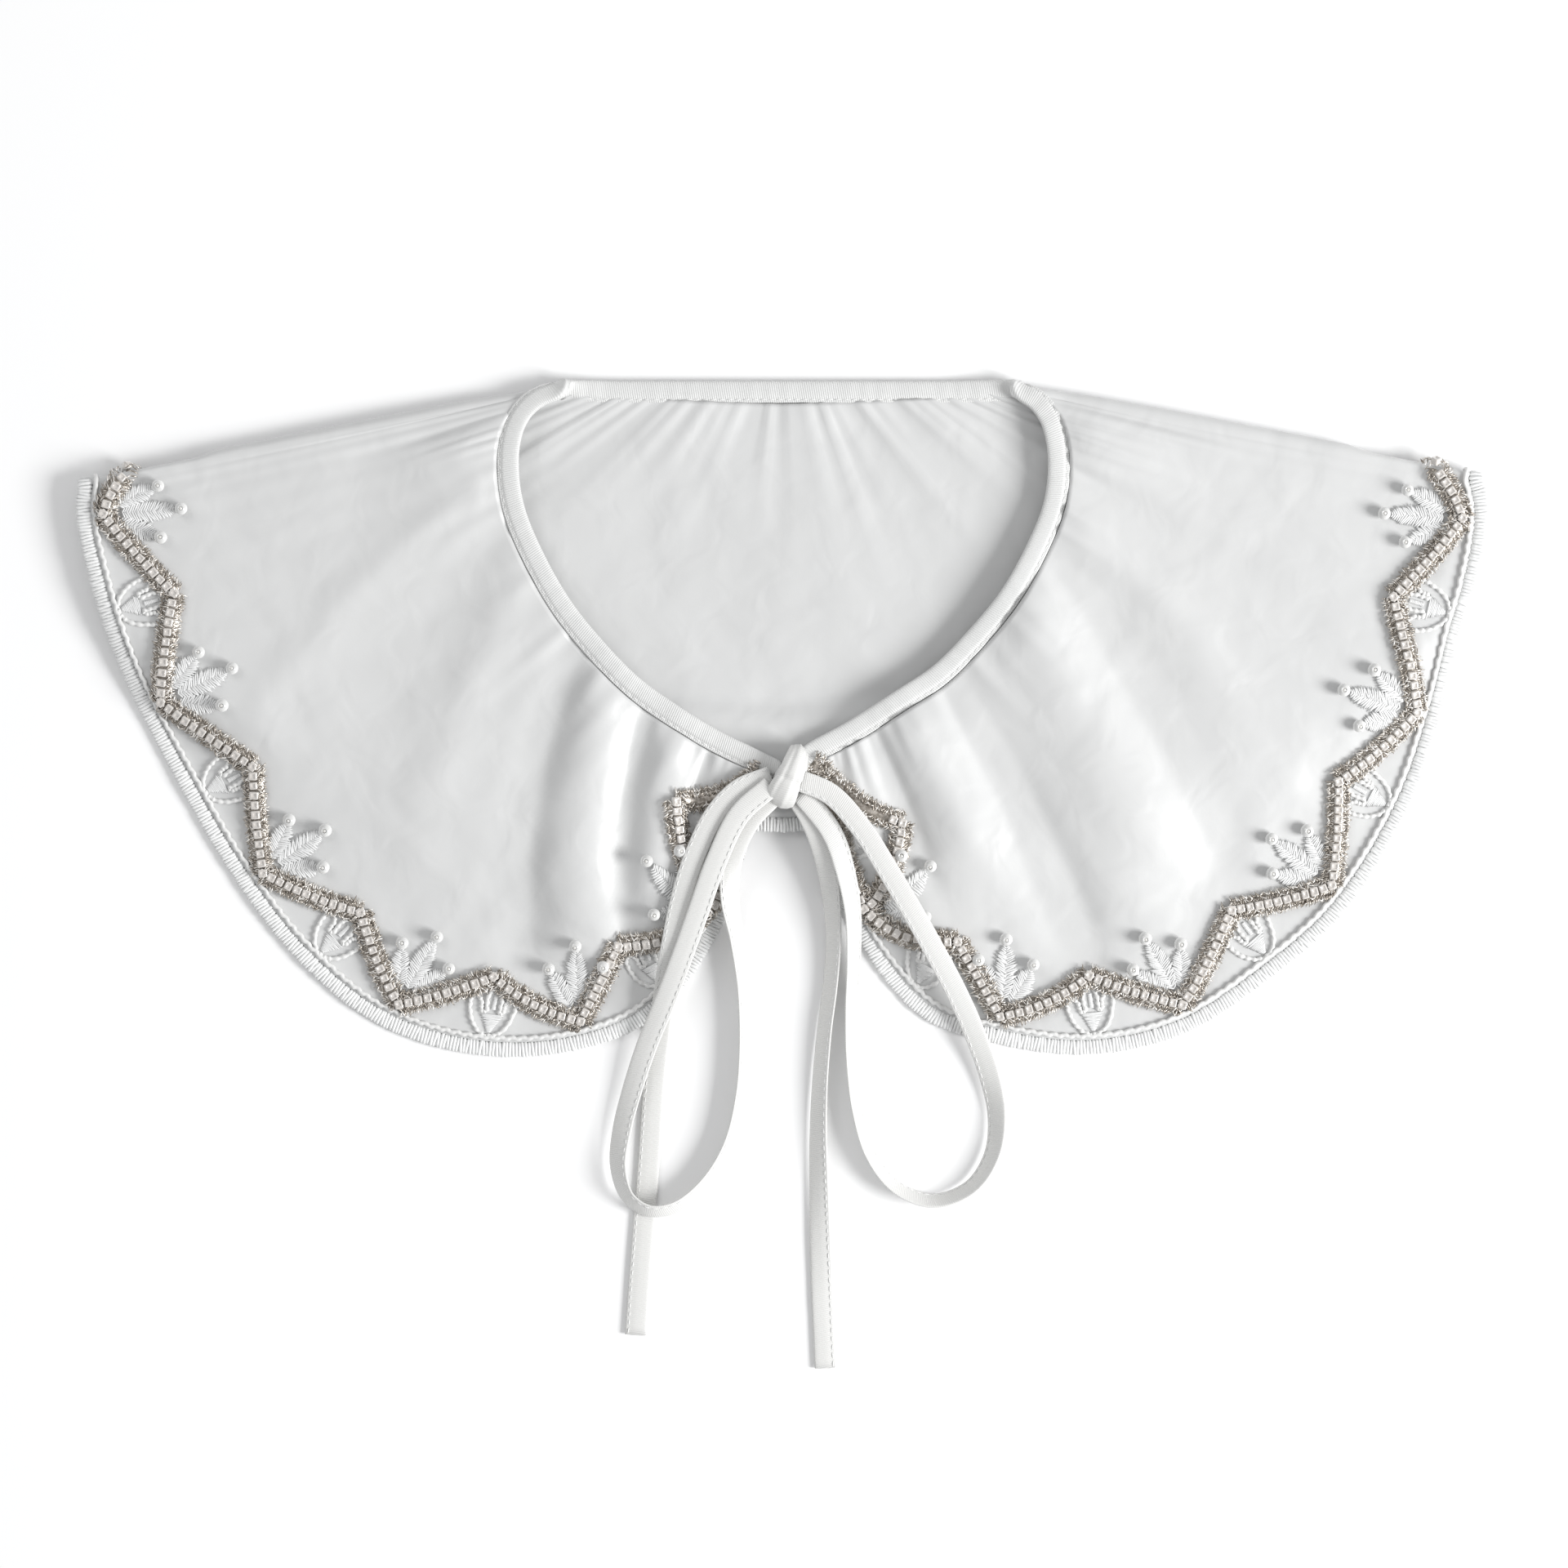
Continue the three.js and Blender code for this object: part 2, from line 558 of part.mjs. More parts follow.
// Stops along the neck edge, evenly spaced, with the cloth's outward direction smoothed over the corners
function neckStops() {
  const places = [];
  const ups = [];
  strip.forEach((section, i) => {
    const inFold = [LEFT_FOLD_AT, RIGHT_FOLD_AT].some((at) => i !== at && Math.abs(i - at) <= ARC_STEPS / 2);
    if (!inFold) {
      places.push(section[0]);
      ups.push(clothFrame(i, stationShares[2]).normal);
    }
  });
  const curve = new THREE.CatmullRomCurve3(places);
  const steps = Math.round(curve.getLength() / BINDING_STEP);
  const stops = [];
  for (let i = 0; i <= steps; i += 1) {
    const u = curve.getUtoTmapping(i / steps);
    const at = u * (places.length - 1);
    const up = new THREE.Vector3();
    ups.forEach((normal, k) => {
      up.addScaledVector(normal, Math.exp(-(((k - at) / TURN_SPREAD) ** 2)));
    });
    stops.push({ place: curve.getPoint(u), up: up.normalize() });
  }
  return stops;
}

// Stops along the middle of the overlocked edge
function hemStops() {
  return strip.map((section, i) => {
    const { along, normal } = clothFrame(i, 1);
    const inward = new THREE.Vector3().crossVectors(along, normal).normalize();
    const place = section[section.length - 1].clone().addScaledVector(inward, EDGING_WIDTH / 2);
    return { place, up: normal };
  });
}

const bindingStops = neckStops();
const edgingStops = hemStops();

// Length along the hem from the left front corner at each section
const hemLengths = [0];
for (let i = 1; i < strip.length; i += 1) {
  const last = STATIONS.length - 1;
  hemLengths.push(hemLengths[i - 1] + strip[i][last].distanceTo(strip[i - 1][last]));
}
const HEM_LENGTH = hemLengths[hemLengths.length - 1];

function sectionAtHem(length) {
  let i = 0;
  while (i < strip.length - 2 && hemLengths[i + 1] < length) {
    i += 1;
  }
  return i + (length - hemLengths[i]) / (hemLengths[i + 1] - hemLengths[i]);
}

// The place on the cloth a given distance in from the hem, square to the hem
function placeFromHem(length, inset) {
  let s = sectionAtHem(length);
  let t = 1;
  const { along, normal } = clothFrame(s, 0.99);
  const steps = 8;
  const move = new THREE.Vector3().crossVectors(along, normal).normalize().multiplyScalar(inset / steps);
  for (let k = 0; k < steps; k += 1) {
    const next = slideOnCloth(s, Math.min(t, 0.985), move);
    t = Math.min(t, 0.985) === t ? next.t : t + next.t - 0.985;
    s = next.s;
  }
  return { s, t };
}

// The tips of the zigzag from the left front corner to the right one
function trimTips() {
  const outer = [];
  for (let k = 0; k < FRONT_TIPS; k += 1) {
    outer.push(FIRST_TIP + k * TIP_PITCH);
  }
  const backStart = outer[FRONT_TIPS - 1];
  const backPitch = (HEM_LENGTH - 2 * backStart) / BACK_STEPS;
  for (let k = 1; k < BACK_STEPS; k += 1) {
    outer.push(backStart + k * backPitch);
  }
  for (let k = FRONT_TIPS - 1; k >= 0; k -= 1) {
    outer.push(HEM_LENGTH - FIRST_TIP - k * TIP_PITCH);
  }
  const tips = [TRIM_START, placeFromHem(CORNER_INNER, INNER_INSET)];
  outer.forEach((length, k) => {
    tips.push(placeFromHem(length, OUTER_INSET));
    if (k < outer.length - 1) {
      tips.push(placeFromHem((length + outer[k + 1]) / 2, INNER_INSET));
    }
  });
  tips.push(placeFromHem(HEM_LENGTH - CORNER_INNER, INNER_INSET));
  tips.push({ s: strip.length - 1 - TRIM_START.s, t: TRIM_START.t });
  return tips;
}

// The length along the hem at a section of the strip
function lengthAtSection(s) {
  const i = THREE.MathUtils.clamp(Math.floor(s), 0, strip.length - 2);
  return THREE.MathUtils.lerp(hemLengths[i], hemLengths[i + 1], s - i);
}

// Walks over the cloth, round a fold too: ahead along the strip and inward from the hem, in mm
function walkOnCloth(from, ahead, inward) {
  const steps = 5;
  let place = from;
  for (let k = 0; k < steps; k += 1) {
    const { along, normal } = clothFrame(place.s, Math.min(place.t, 0.99));
    const forward = along.normalize();
    const up = new THREE.Vector3().crossVectors(forward, normal);
    const move = forward.multiplyScalar(ahead / steps).addScaledVector(up, inward / steps);
    place = slideOnCloth(place.s, place.t, move);
  }
  return place;
}

// One straight run of the trim between two places on the cloth, lying on its right side
function trimLeg(from, to) {
  const start = lengthAtSection(from.s);
  const run = lengthAtSection(to.s) - start;
  const shares = [];
  for (const foldAt of [LEFT_FOLD_AT, RIGHT_FOLD_AT]) {
    for (let i = foldAt - ARC_STEPS / 2; i <= foldAt + ARC_STEPS / 2; i += 1) {
      const share = (hemLengths[i] - start) / run;
      if (share > 0.02 && share < 0.98) {
        shares.push(share);
      }
    }
  }
  for (let k = 0; k <= LEG_STEPS; k += 1) {
    const share = k / LEG_STEPS;
    if (shares.every((other) => Math.abs(other - share) > 0.06)) {
      shares.push(share);
    }
  }
  shares.sort((a, b) => a - b);
  const places = shares.map((share) => ({
    s: sectionAtHem(start + run * share),
    t: THREE.MathUtils.lerp(from.t, to.t, share),
  }));
  const points = places.map((place) => clothPoint(place.s, place.t));
  const under = CLOTH / 2 + TRIM_SEAT;
  const rings = places.map((place, i) => {
    const travel = points[Math.min(i + 1, points.length - 1)].clone().sub(points[Math.max(i - 1, 0)]);
    const { along, normal } = clothFrame(place.s, Math.min(place.t, 0.99));
    const side = new THREE.Vector3().crossVectors(travel, normal).normalize();
    const forward = along.normalize();
    const ahead = side.dot(forward) * TRIM_WIDTH / 2;
    const inward = side.dot(new THREE.Vector3().crossVectors(forward, normal)) * TRIM_WIDTH / 2;
    const edges = [-1, 0, 1].map((hand) => {
      const moved = walkOnCloth(place, hand * ahead, hand * inward);
      const t = Math.min(moved.t, 1);
      return { base: clothPoint(moved.s, t), normal: clothFrame(moved.s, t).normal };
    });
    const lift = (edge, high) => edge.base.clone().addScaledVector(edge.normal, under + high);
    return [
      lift(edges[2], 0), lift(edges[2], TRIM_THICK * 0.7), lift(edges[1], TRIM_THICK),
      lift(edges[0], TRIM_THICK * 0.7), lift(edges[0], 0), lift(edges[1], 0),
    ];
  });
  return loftRings(rings);
}

// The place reached from an outer tip by going a distance inward, turned by an angle along the hem
function placeFromTip(length, distance, degrees) {
  const { along, normal } = clothFrame(sectionAtHem(length), 0.99);
  const ahead = along.normalize();
  const inward = new THREE.Vector3().crossVectors(ahead, normal);
  const angle = THREE.MathUtils.degToRad(degrees);
  const steps = 6;
  const move = inward.multiplyScalar(Math.cos(angle)).addScaledVector(ahead, Math.sin(angle));
  move.multiplyScalar(distance / steps);
  let place = placeFromHem(length, OUTER_INSET);
  for (let k = 0; k < steps; k += 1) {
    place = slideOnCloth(place.s, place.t, move);
  }
  return place;
}

// Three pearls inward of each outer tip of the zigzag on the two fronts, numbered from the bow
function placePearls() {
  const trio = [
    { letter: 'a', reach: PEARL_SIDE, turn: -PEARL_SPREAD },
    { letter: 'b', reach: PEARL_MIDDLE, turn: 0 },
    { letter: 'c', reach: PEARL_SIDE, turn: PEARL_SPREAD },
  ];
  const pearls = [];
  for (let k = 0; k < FRONT_TIPS; k += 1) {
    for (const side of ['left', 'right']) {
      const fromCorner = FIRST_TIP + k * TIP_PITCH;
      const length = side === 'left' ? fromCorner : HEM_LENGTH - fromCorner;
      const away = side === 'left' ? PEARL_LEAN : -PEARL_LEAN;
      for (const { letter, reach, turn } of trio) {
        const place = placeFromTip(length, reach, k === 0 ? turn + away : turn);
        const { normal } = clothFrame(place.s, place.t);
        const middle = clothPoint(place.s, place.t);
        middle.addScaledVector(normal, CLOTH / 2 + PEARL_SEAT + PEARL / 2);
        pearls.push({ name: `pearl_${side}_${k + 1}${letter}`, middle });
      }
    }
  }
  return pearls;
}

// Stops of a tie along its route: the points are joined by a smooth curve, and the roll turns its face
function tieStops(route) {
  const points = route.map((row) => new THREE.Vector3(row.x, FRONT_CORNER_Y + row.y, row.z));
  const curve = new THREE.CatmullRomCurve3(points);
  const last = route.length - 1;
  const steps = Math.round(last * TIE_STEPS);
  const stops = [];
  for (let i = 0; i <= steps; i += 1) {
    const u = i / steps;
    const row = Math.min(Math.floor(u * last), last - 1);
    const degrees = THREE.MathUtils.lerp(route[row].roll, route[row + 1].roll, u * last - row);
    const roll = THREE.MathUtils.degToRad(degrees);
    const travel = curve.getTangent(u).setZ(0).normalize();
    const side = new THREE.Vector3(travel.y, -travel.x, 0);
    const up = new THREE.Vector3(0, 0, Math.cos(roll)).addScaledVector(side, Math.sin(roll));
    stops.push({ place: curve.getPoint(u), up });
  }
  return stops;
}

function knotGeometry(grow = 0) {
  const geometry = new THREE.SphereGeometry(1, 16, 10);
  geometry.scale(KNOT_WIDTH / 2 + grow, KNOT_LENGTH / 2 + grow, KNOT_HEIGHT / 2 + grow);
  geometry.rotateZ(-THREE.MathUtils.degToRad(KNOT_LEAN));
  geometry.translate(KNOT_PLACE.x, KNOT_PLACE.y, KNOT_PLACE.z);
  geometry.deleteAttribute('normal');
  geometry.deleteAttribute('uv');
  return geometry;
}

const knotRoom = toSolid(knotGeometry(CLEARANCE));
const capeRoom = toSolid(layCloth(CLOTH + 2 * CLEARANCE));
const bindingRoom = toSolid(sweepBand(bindingStops, bandSection(BINDING_WIDTH, BINDING_THICK, CLEARANCE)));
const edgingRoom = toSolid(sweepBand(edgingStops, edgeSection(EDGING_WIDTH, EDGING_THICK, CLEARANCE)));

const pearls = placePearls();
const pearlRooms = wasm.Manifold.union(pearls.map(({ middle }) => {
  return wasm.Manifold.sphere(PEARL / 2 + CLEARANCE, 12).translate([middle.x, middle.y, middle.z]);
}));

// What would lie below the table
const belowTable = toSolid(new THREE.BoxGeometry(4 * COLLAR_WIDTH, 4 * COLLAR_DEPTH, COLLAR_DEPTH)
  .translate(0, 0, -COLLAR_DEPTH / 2)
  .deleteAttribute('normal')
  .deleteAttribute('uv'));

function makeCape() {
  const whole = toSolid(layCloth(CLOTH));
  return toGeometry(biggestPiece(whole.subtract(bindingRoom).subtract(edgingRoom)));
}

function makeBinding() {
  const whole = toSolid(sweepBand(bindingStops, bandSection(BINDING_WIDTH, BINDING_THICK)));
  return toGeometry(biggestPiece(whole.subtract(knotRoom).subtract(belowTable)));
}

function makeEdging() {
  const whole = toSolid(sweepBand(edgingStops, edgeSection(EDGING_WIDTH, EDGING_THICK)));
  return toGeometry(biggestPiece(whole.subtract(bindingRoom).subtract(knotRoom).subtract(belowTable)));
}

function makeTrim() {
  const tips = trimTips();
  const legs = tips.slice(1).map((tip, i) => toSolid(trimLeg(tips[i], tip)));
  legs.push(toSolid(trimLeg(tips[0], tips[2])));
  legs.push(toSolid(trimLeg(tips[tips.length - 3], tips[tips.length - 1])));
  const rooms = wasm.Manifold.union([capeRoom, bindingRoom, edgingRoom, pearlRooms, knotRoom]);
  return toGeometry(biggestPiece(wasm.Manifold.union(legs).subtract(rooms)));
}

function makeTie(route) {
  const whole = toSolid(sweepBand(tieStops(route), bandSection(TIE_WIDTH, TIE_THICK)));
  return toGeometry(biggestPiece(whole.subtract(knotRoom)));
}

function fabric(color, roughness, metalness = 0) {
  return new THREE.MeshStandardMaterial({ color, roughness, metalness });
}

const satin = fabric(0xf1f3f3, 0.42);
const thread = fabric(0xe9eae9, 0.7);
const braid = fabric(0xb5aa9c, 0.4, 0.5);
const nacre = fabric(0xf3f1ee, 0.22);

const collar = new THREE.Group();

function addPiece(name, geometry, material) {
  const mesh = new THREE.Mesh(geometry, material);
  mesh.name = name;
  collar.add(mesh);
  return mesh;
}

addPiece('cape', makeCape(), satin);
addPiece('neck_binding', makeBinding(), satin);
addPiece('hem_edging', makeEdging(), thread);
addPiece('beaded_trim', makeTrim(), braid);

for (const pearl of pearls) {
  const mesh = addPiece(pearl.name, new THREE.SphereGeometry(PEARL / 2, 10, 4), nacre);
  mesh.position.copy(pearl.middle);
}

addPiece('bow_knot', knotGeometry(), satin);
addPiece('tie_loop_left', makeTie(LEFT_LOOP), satin);
addPiece('tie_end_left', makeTie(LEFT_END), satin);
addPiece('tie_loop_right', makeTie(RIGHT_LOOP), satin);
addPiece('tie_end_right', makeTie(RIGHT_END), satin);

export default collar;
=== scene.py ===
import math

import bmesh
import bpy
import numpy as np
from mathutils import Matrix, Vector


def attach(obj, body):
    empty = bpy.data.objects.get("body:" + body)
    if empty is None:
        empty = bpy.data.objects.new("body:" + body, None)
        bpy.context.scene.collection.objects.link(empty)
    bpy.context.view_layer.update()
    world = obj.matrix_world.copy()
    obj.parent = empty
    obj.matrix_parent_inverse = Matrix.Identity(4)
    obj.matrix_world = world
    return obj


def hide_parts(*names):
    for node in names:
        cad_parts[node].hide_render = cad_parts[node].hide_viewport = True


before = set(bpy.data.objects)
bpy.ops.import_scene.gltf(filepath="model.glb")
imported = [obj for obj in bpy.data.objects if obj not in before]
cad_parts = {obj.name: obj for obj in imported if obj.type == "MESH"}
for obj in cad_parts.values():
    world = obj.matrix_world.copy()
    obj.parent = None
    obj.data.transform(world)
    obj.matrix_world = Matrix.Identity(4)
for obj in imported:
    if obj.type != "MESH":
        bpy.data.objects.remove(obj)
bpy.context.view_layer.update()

scene = bpy.context.scene

# The view straight down on the collar, as it was photographed: a long lens well above the table, with the
# bow towards the viewer and the back neck away from it.
PHOTO_WIDE = 0.4527
PHOTO_MIDDLE = (0.0003, -0.0188)
CAMERA_HIGH = 1.6
FOCUS_HIGH = 0.004  # the height that PHOTO_WIDE is measured at
SENSOR_MM = 36
camera_data = bpy.data.cameras.new("camera")
camera_data.sensor_width = SENSOR_MM
camera_data.lens = SENSOR_MM * (CAMERA_HIGH - FOCUS_HIGH) / PHOTO_WIDE
camera = bpy.data.objects.new("camera", camera_data)
camera.location = (*PHOTO_MIDDLE, CAMERA_HIGH)
scene.collection.objects.link(camera)
scene.camera = camera


# The tie: one long bias strip of the same satin, folded into a flat soft tube 6.2 mm wide with a line of
# small stitches beside one edge. Two loops and two cut ends leave the knot and lie down on the table.
MM = 0.001  # sizes are in mm, and turned to metres where a mesh is made
TIE_WIDE, TIE_THICK = 6.2, 1.0
TIE_GROOVE = 0.72  # where its stitches run, as a share of half its width
TIE_STEPS = 7  # rings of the strip for each point of its route
GRAIN_SIZE = 0.0006  # in metres, as the textures and bumps count
RIB_SLANT = math.radians(12)
WAVE_UNIT = 0.314  # the length of one wave of the wave texture at scale 1


def bell(x):
    return np.exp(-(x**2))


def unit(v):
    return v / np.maximum(np.linalg.norm(v, axis=-1, keepdims=True), 1e-12)


def flattened(wave, power):
    """A sine or cosine whose tops are squared off by a power under 1."""
    return np.sign(wave) * np.abs(wave) ** power


def lengths_along(line):
    """The distance from the start of a line of points to each of them."""
    return np.concatenate([[0], np.cumsum(np.linalg.norm(np.diff(line, axis=0), axis=1))])


def read_at(at, length, values):
    """Rows of values kept at distances length, read at other distances."""
    return np.stack([np.interp(at, length, values[:, c]) for c in range(values.shape[1])], axis=1)


def centripetal(points, at):
    """Points of a centripetal Catmull-Rom curve through points, at counts them from 0."""
    points = np.asarray(points, float)
    line = np.vstack([2 * points[0] - points[1], points, 2 * points[-1] - points[-2]])
    i = np.clip(np.floor(at).astype(int), 0, len(points) - 2)
    w = (at - i)[:, None]
    p0, p1, p2, p3 = line[i], line[i + 1], line[i + 2], line[i + 3]
    gaps = [np.sqrt(np.linalg.norm(b - a, axis=1, keepdims=True)) for a, b in ((p0, p1), (p1, p2), (p2, p3))]
    middle = np.where(gaps[1] < 1e-4, 1, gaps[1])
    d0, d2 = (np.where(gap < 1e-4, middle, gap) for gap in gaps[::2])
    t1 = ((p1 - p0) / d0 - (p2 - p0) / (d0 + middle) + (p2 - p1) / middle) * middle
    t2 = ((p2 - p1) / middle - (p3 - p1) / (middle + d2) + (p3 - p2) / d2) * middle
    return p1 + t1 * w + (3 * (p2 - p1) - 2 * t1 - t2) * w**2 + (2 * (p1 - p2) + t1 + t2) * w**3


def smoothed(mesh):
    mesh.polygons.foreach_set("use_smooth", [True] * len(mesh.polygons))
    return mesh


def smooth_mesh(name, points, faces):
    mesh = bpy.data.meshes.new(name)
    mesh.from_pydata([tuple(p) for p in points], [], faces)
    return smoothed(mesh)


def put_in(mesh):
    """Sets a mesh in the scene as a piece of the object that rides on its one body."""
    piece = bpy.data.objects.new(mesh.name, mesh)
    scene.collection.objects.link(piece)
    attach(piece, "root")
    return piece


def new_piece(name, points, faces, material, uv=None):
    """A smooth mesh of the object; uv has a pair for each corner of each face."""
    mesh = smooth_mesh(name, points, faces)
    if uv is not None:
        mesh.uv_layers.new(name="cloth").data.foreach_set("uv", np.asarray(uv, np.float32).ravel())
    mesh.materials.append(material)
    mesh.validate()
    return put_in(mesh)


def line_frame(line, ups):
    """The travel of a line, its side direction and its ups turned square to the travel."""
    travel = unit(np.gradient(line, axis=0))
    ups = unit(ups - travel * np.sum(ups * travel, axis=1, keepdims=True))
    return travel, np.cross(travel, ups), ups


def sweep(places, ups, section):
    """A closed band through a section at each place, given in mm: its points, faces and UVs in metres."""
    places = np.asarray(places)
    _, side, ups = line_frame(places, ups)
    section = np.broadcast_to(section, (len(places),) + np.shape(section)[-2:])
    rings = places[:, None] + side[:, None] * section[..., :1] + ups[:, None] * section[..., 1:]
    count = section.shape[1]
    length = lengths_along(places) * MM
    around = lengths_along(np.vstack([section[0], section[0][:1]])) * MM
    faces = []
    uv = []
    for i in range(len(places) - 1):
        for k in range(count):
            n = (k + 1) % count
            faces.append((i * count + k, (i + 1) * count + k, (i + 1) * count + n, i * count + n))
            uv.append([(around[k], length[i]), (around[k], length[i + 1]),
                       (around[k + 1], length[i + 1]), (around[k + 1], length[i])])
    far_cap = (len(places) - 1) * count
    faces += [tuple(range(count)), tuple(reversed(range(far_cap, far_cap + count)))]
    uv += [[(0, 0)] * count] * 2
    points = rings.reshape(-1, 3)
    corners = points[np.array(faces[0])]
    if np.dot(np.cross(corners[1] - corners[0], corners[2] - corners[0]), corners[0] - places[0]) < 0:
        faces = [face[::-1] for face in faces]
        uv = [pairs[::-1] for pairs in uv]
    return points * MM, faces, [pair for pairs in uv for pair in pairs]


def band_section(wide, thick, count, groove_at, groove):
    """A soft flat band counter-clockwise, with a stitched groove at a share of its half width."""
    angles = np.linspace(0, math.tau, count, endpoint=False)
    across = flattened(np.cos(angles), 0.75) * wide / 2
    high = flattened(np.sin(angles), 0.62) * thick / 2
    dent = bell((across / (wide / 2) - groove_at) / 0.11)
    return np.stack([across, high * (1 - groove * dent)], axis=1)


def fill(tree, node, inputs):
    """Gives inputs of a node their values, or links them to the outputs given in place of values."""
    for word, value in inputs.items():
        if isinstance(value, bpy.types.NodeSocket):
            tree.links.new(value, node.inputs[word])
        else:
            node.inputs[word].default_value = value


def add_node(tree, kind, inputs, **settings):
    node = tree.nodes.new(kind)
    for word, value in settings.items():
        setattr(node, word, value)
    fill(tree, node, inputs)
    return node


def set_shader(tree, inputs):
    fill(tree, tree.nodes["Principled BSDF"], inputs)


def add_bump(tree, height, strength, distance, normal=None):
    """A bump on the main shader, on top of the one given as normal; its own normal comes back."""
    inputs = {"Height": height, "Strength": strength, "Distance": distance}
    if normal is not None:
        inputs["Normal"] = normal
    normal = add_node(tree, "ShaderNodeBump", inputs).outputs["Normal"]
    set_shader(tree, {"Normal": normal})
    return normal


def add_noise(tree, **inputs):
    place = add_node(tree, "ShaderNodeTexCoord", {}).outputs["Object"]
    return add_node(tree, "ShaderNodeTexNoise", {"Vector": place, **inputs}).outputs["Fac"]


def new_material(name, inputs):
    material = bpy.data.materials.new(name)
    material.use_nodes = True
    set_shader(material.node_tree, inputs)
    return material, material.node_tree


def mixed_color(tree, share, first, second):
    """Sets the main shader's colour to a mix of two."""
    inputs = {0: share, 6: (*first, 1), 7: (*second, 1)}
    mix = add_node(tree, "ShaderNodeMix", inputs, data_type="RGBA")
    set_shader(tree, {"Base Color": mix.outputs[2]})


def cloth_material(name, color, roughness, ribs=0.0, rib_pitch=0.55, grain=0.12, rumple=0.0):
    """White satin: a soft sheen, fine grain, and on bias strips twill ribs read from the UVs."""
    material, tree = new_material(name, {"Base Color": (*color, 1), "Sheen Weight": 0.25,
                                         "Sheen Roughness": 0.35, "Specular IOR Level": 0.5})
    noise = add_noise(tree, Scale=1 / GRAIN_SIZE, Detail=2)
    spread = add_node(tree, "ShaderNodeMapRange", {"Value": noise, "To Min": roughness - 0.05,
                                                   "To Max": roughness + 0.07})
    set_shader(tree, {"Roughness": spread.outputs["Result"]})
    normal = add_bump(tree, noise, grain, 0.0001)
    for size, depth in ((0.034, 0.0016), (0.011, 0.00035)) if rumple else ():
        waves = add_noise(tree, Scale=1 / size, Detail=1.5, Distortion=0.6)
        normal = add_bump(tree, waves, rumple, depth, normal)
    if ribs:
        uv = add_node(tree, "ShaderNodeUVMap", {}, uv_map="cloth").outputs["UV"]
        turn = add_node(tree, "ShaderNodeMapping", {"Vector": uv, "Rotation": (0, 0, RIB_SLANT)})
        wave = add_node(tree, "ShaderNodeTexWave", {"Vector": turn.outputs["Vector"],
                                                    "Scale": WAVE_UNIT / (rib_pitch * MM), "Distortion": 0.6,
                                                    "Detail Scale": 400}, bands_direction="Y")
        add_bump(tree, wave.outputs["Fac"], ribs, 0.00012, normal)
    return material


def tie_route(rows):
    """Middle line of a tie and the direction out of its face; a turn of 90 stands the strip on edge."""
    rows = np.array(rows, float)
    at = np.linspace(0, len(rows) - 1, (len(rows) - 1) * TIE_STEPS + 1)
    places = centripetal(rows[:, :3], at)
    turn = np.radians(np.interp(at, np.arange(len(rows)), rows[:, 3]))[:, None]
    travel = np.gradient(places, axis=0)
    travel[:, 2] = 0
    travel = unit(travel)
    side = np.stack([travel[:, 1], -travel[:, 0], np.zeros(len(at))], axis=1)
    return places, np.cos(turn) * (0, 0, 1) + np.sin(turn) * side


LEFT_LOOP = (  # x, y, z, turn, in mm and degrees
    (-3.4, -19.4, 11.6, 0),
    (-12.4, -27.5, 11.8, 0),
    (-19.2, -41.2, 11.8, 0),
    (-24.6, -56.3, 11.2, 0),
    (-29.2, -69, 9.6, 0),
    (-34.2, -82, 7, 4),
    (-39, -93.5, 4.6, 10),
    (-43.2, -106, 3.5, 18),
    (-46.6, -119, 3.4, 28),
    (-47.6, -129.5, 3.8, 42),
    (-44.8, -138, 4.5, 52),
    (-38.6, -142, 4.8, 56),
    (-31, -141, 4.4, 56),
    (-22.6, -134.6, 3.3, 54),
    (-15.6, -123.5, 3, 54),
    (-12, -109, 3, 56),
    (-11, -93, 3, 60),
    (-11.6, -77, 3.1, 60),
    (-13.4, -63, 4, 50),
    (-15.4, -51, 7, 28),
    (-14.4, -39.5, 9.2, 6),
    (-9.6, -29.4, 9.4, 0),
    (-1.6, -21, 8.9, 0),
)
LEFT_END = (
    (-3.4, -16.6, 10.2, 0),
    (-12.6, -20.4, 10.3, 0),
    (-19.8, -28, 10.3, 0),
    (-25.4, -39.6, 10.1, 0),
    (-29.2, -51.6, 9.6, 2),
    (-31.8, -64, 8.6, 0),
    (-33.8, -76, 5.6, 0),
    (-35.4, -88, 2, 0),
    (-36.9, -101, 0.7, 0),
    (-37.9, -114, 0.7, 0),
    (-38.8, -128, 0.7, 0),
    (-39.9, -142, 0.7, 0),
    (-41.2, -158, 0.7, 0),
    (-42.6, -178.2, 0.7, 0),
)
RIGHT_LOOP = (
    (4.4, -17.6, 11.6, 0),
    (13.8, -21.8, 11.8, 0),
    (22.6, -31.6, 11.8, 0),
    (29.6, -42.6, 11.4, 0),
    (36.4, -54, 10.6, 0),
    (43.2, -66, 9, 0),
    (49.6, -78, 7, 2),
    (55, -90, 4.8, 6),
    (59.6, -103, 2.8, 16),
    (61.8, -115, 2.6, 34),
    (60.2, -126.4, 3, 46),
    (54, -135.4, 3.2, 52),
    (43.4, -139.2, 3.2, 54),
    (33, -135.4, 3.2, 56),
    (25.6, -126.4, 3.2, 60),
    (21.6, -114, 3.2, 62),
    (19.9, -100, 3.2, 60),
    (19.6, -86, 3.3, 58),
    (20.4, -70, 4.6, 50),
    (20.2, -56, 7.6, 40),
    (18, -44, 9.6, 24),
    (14, -32.6, 10.1, 10),
    (5, -21, 10.2, 0),
)
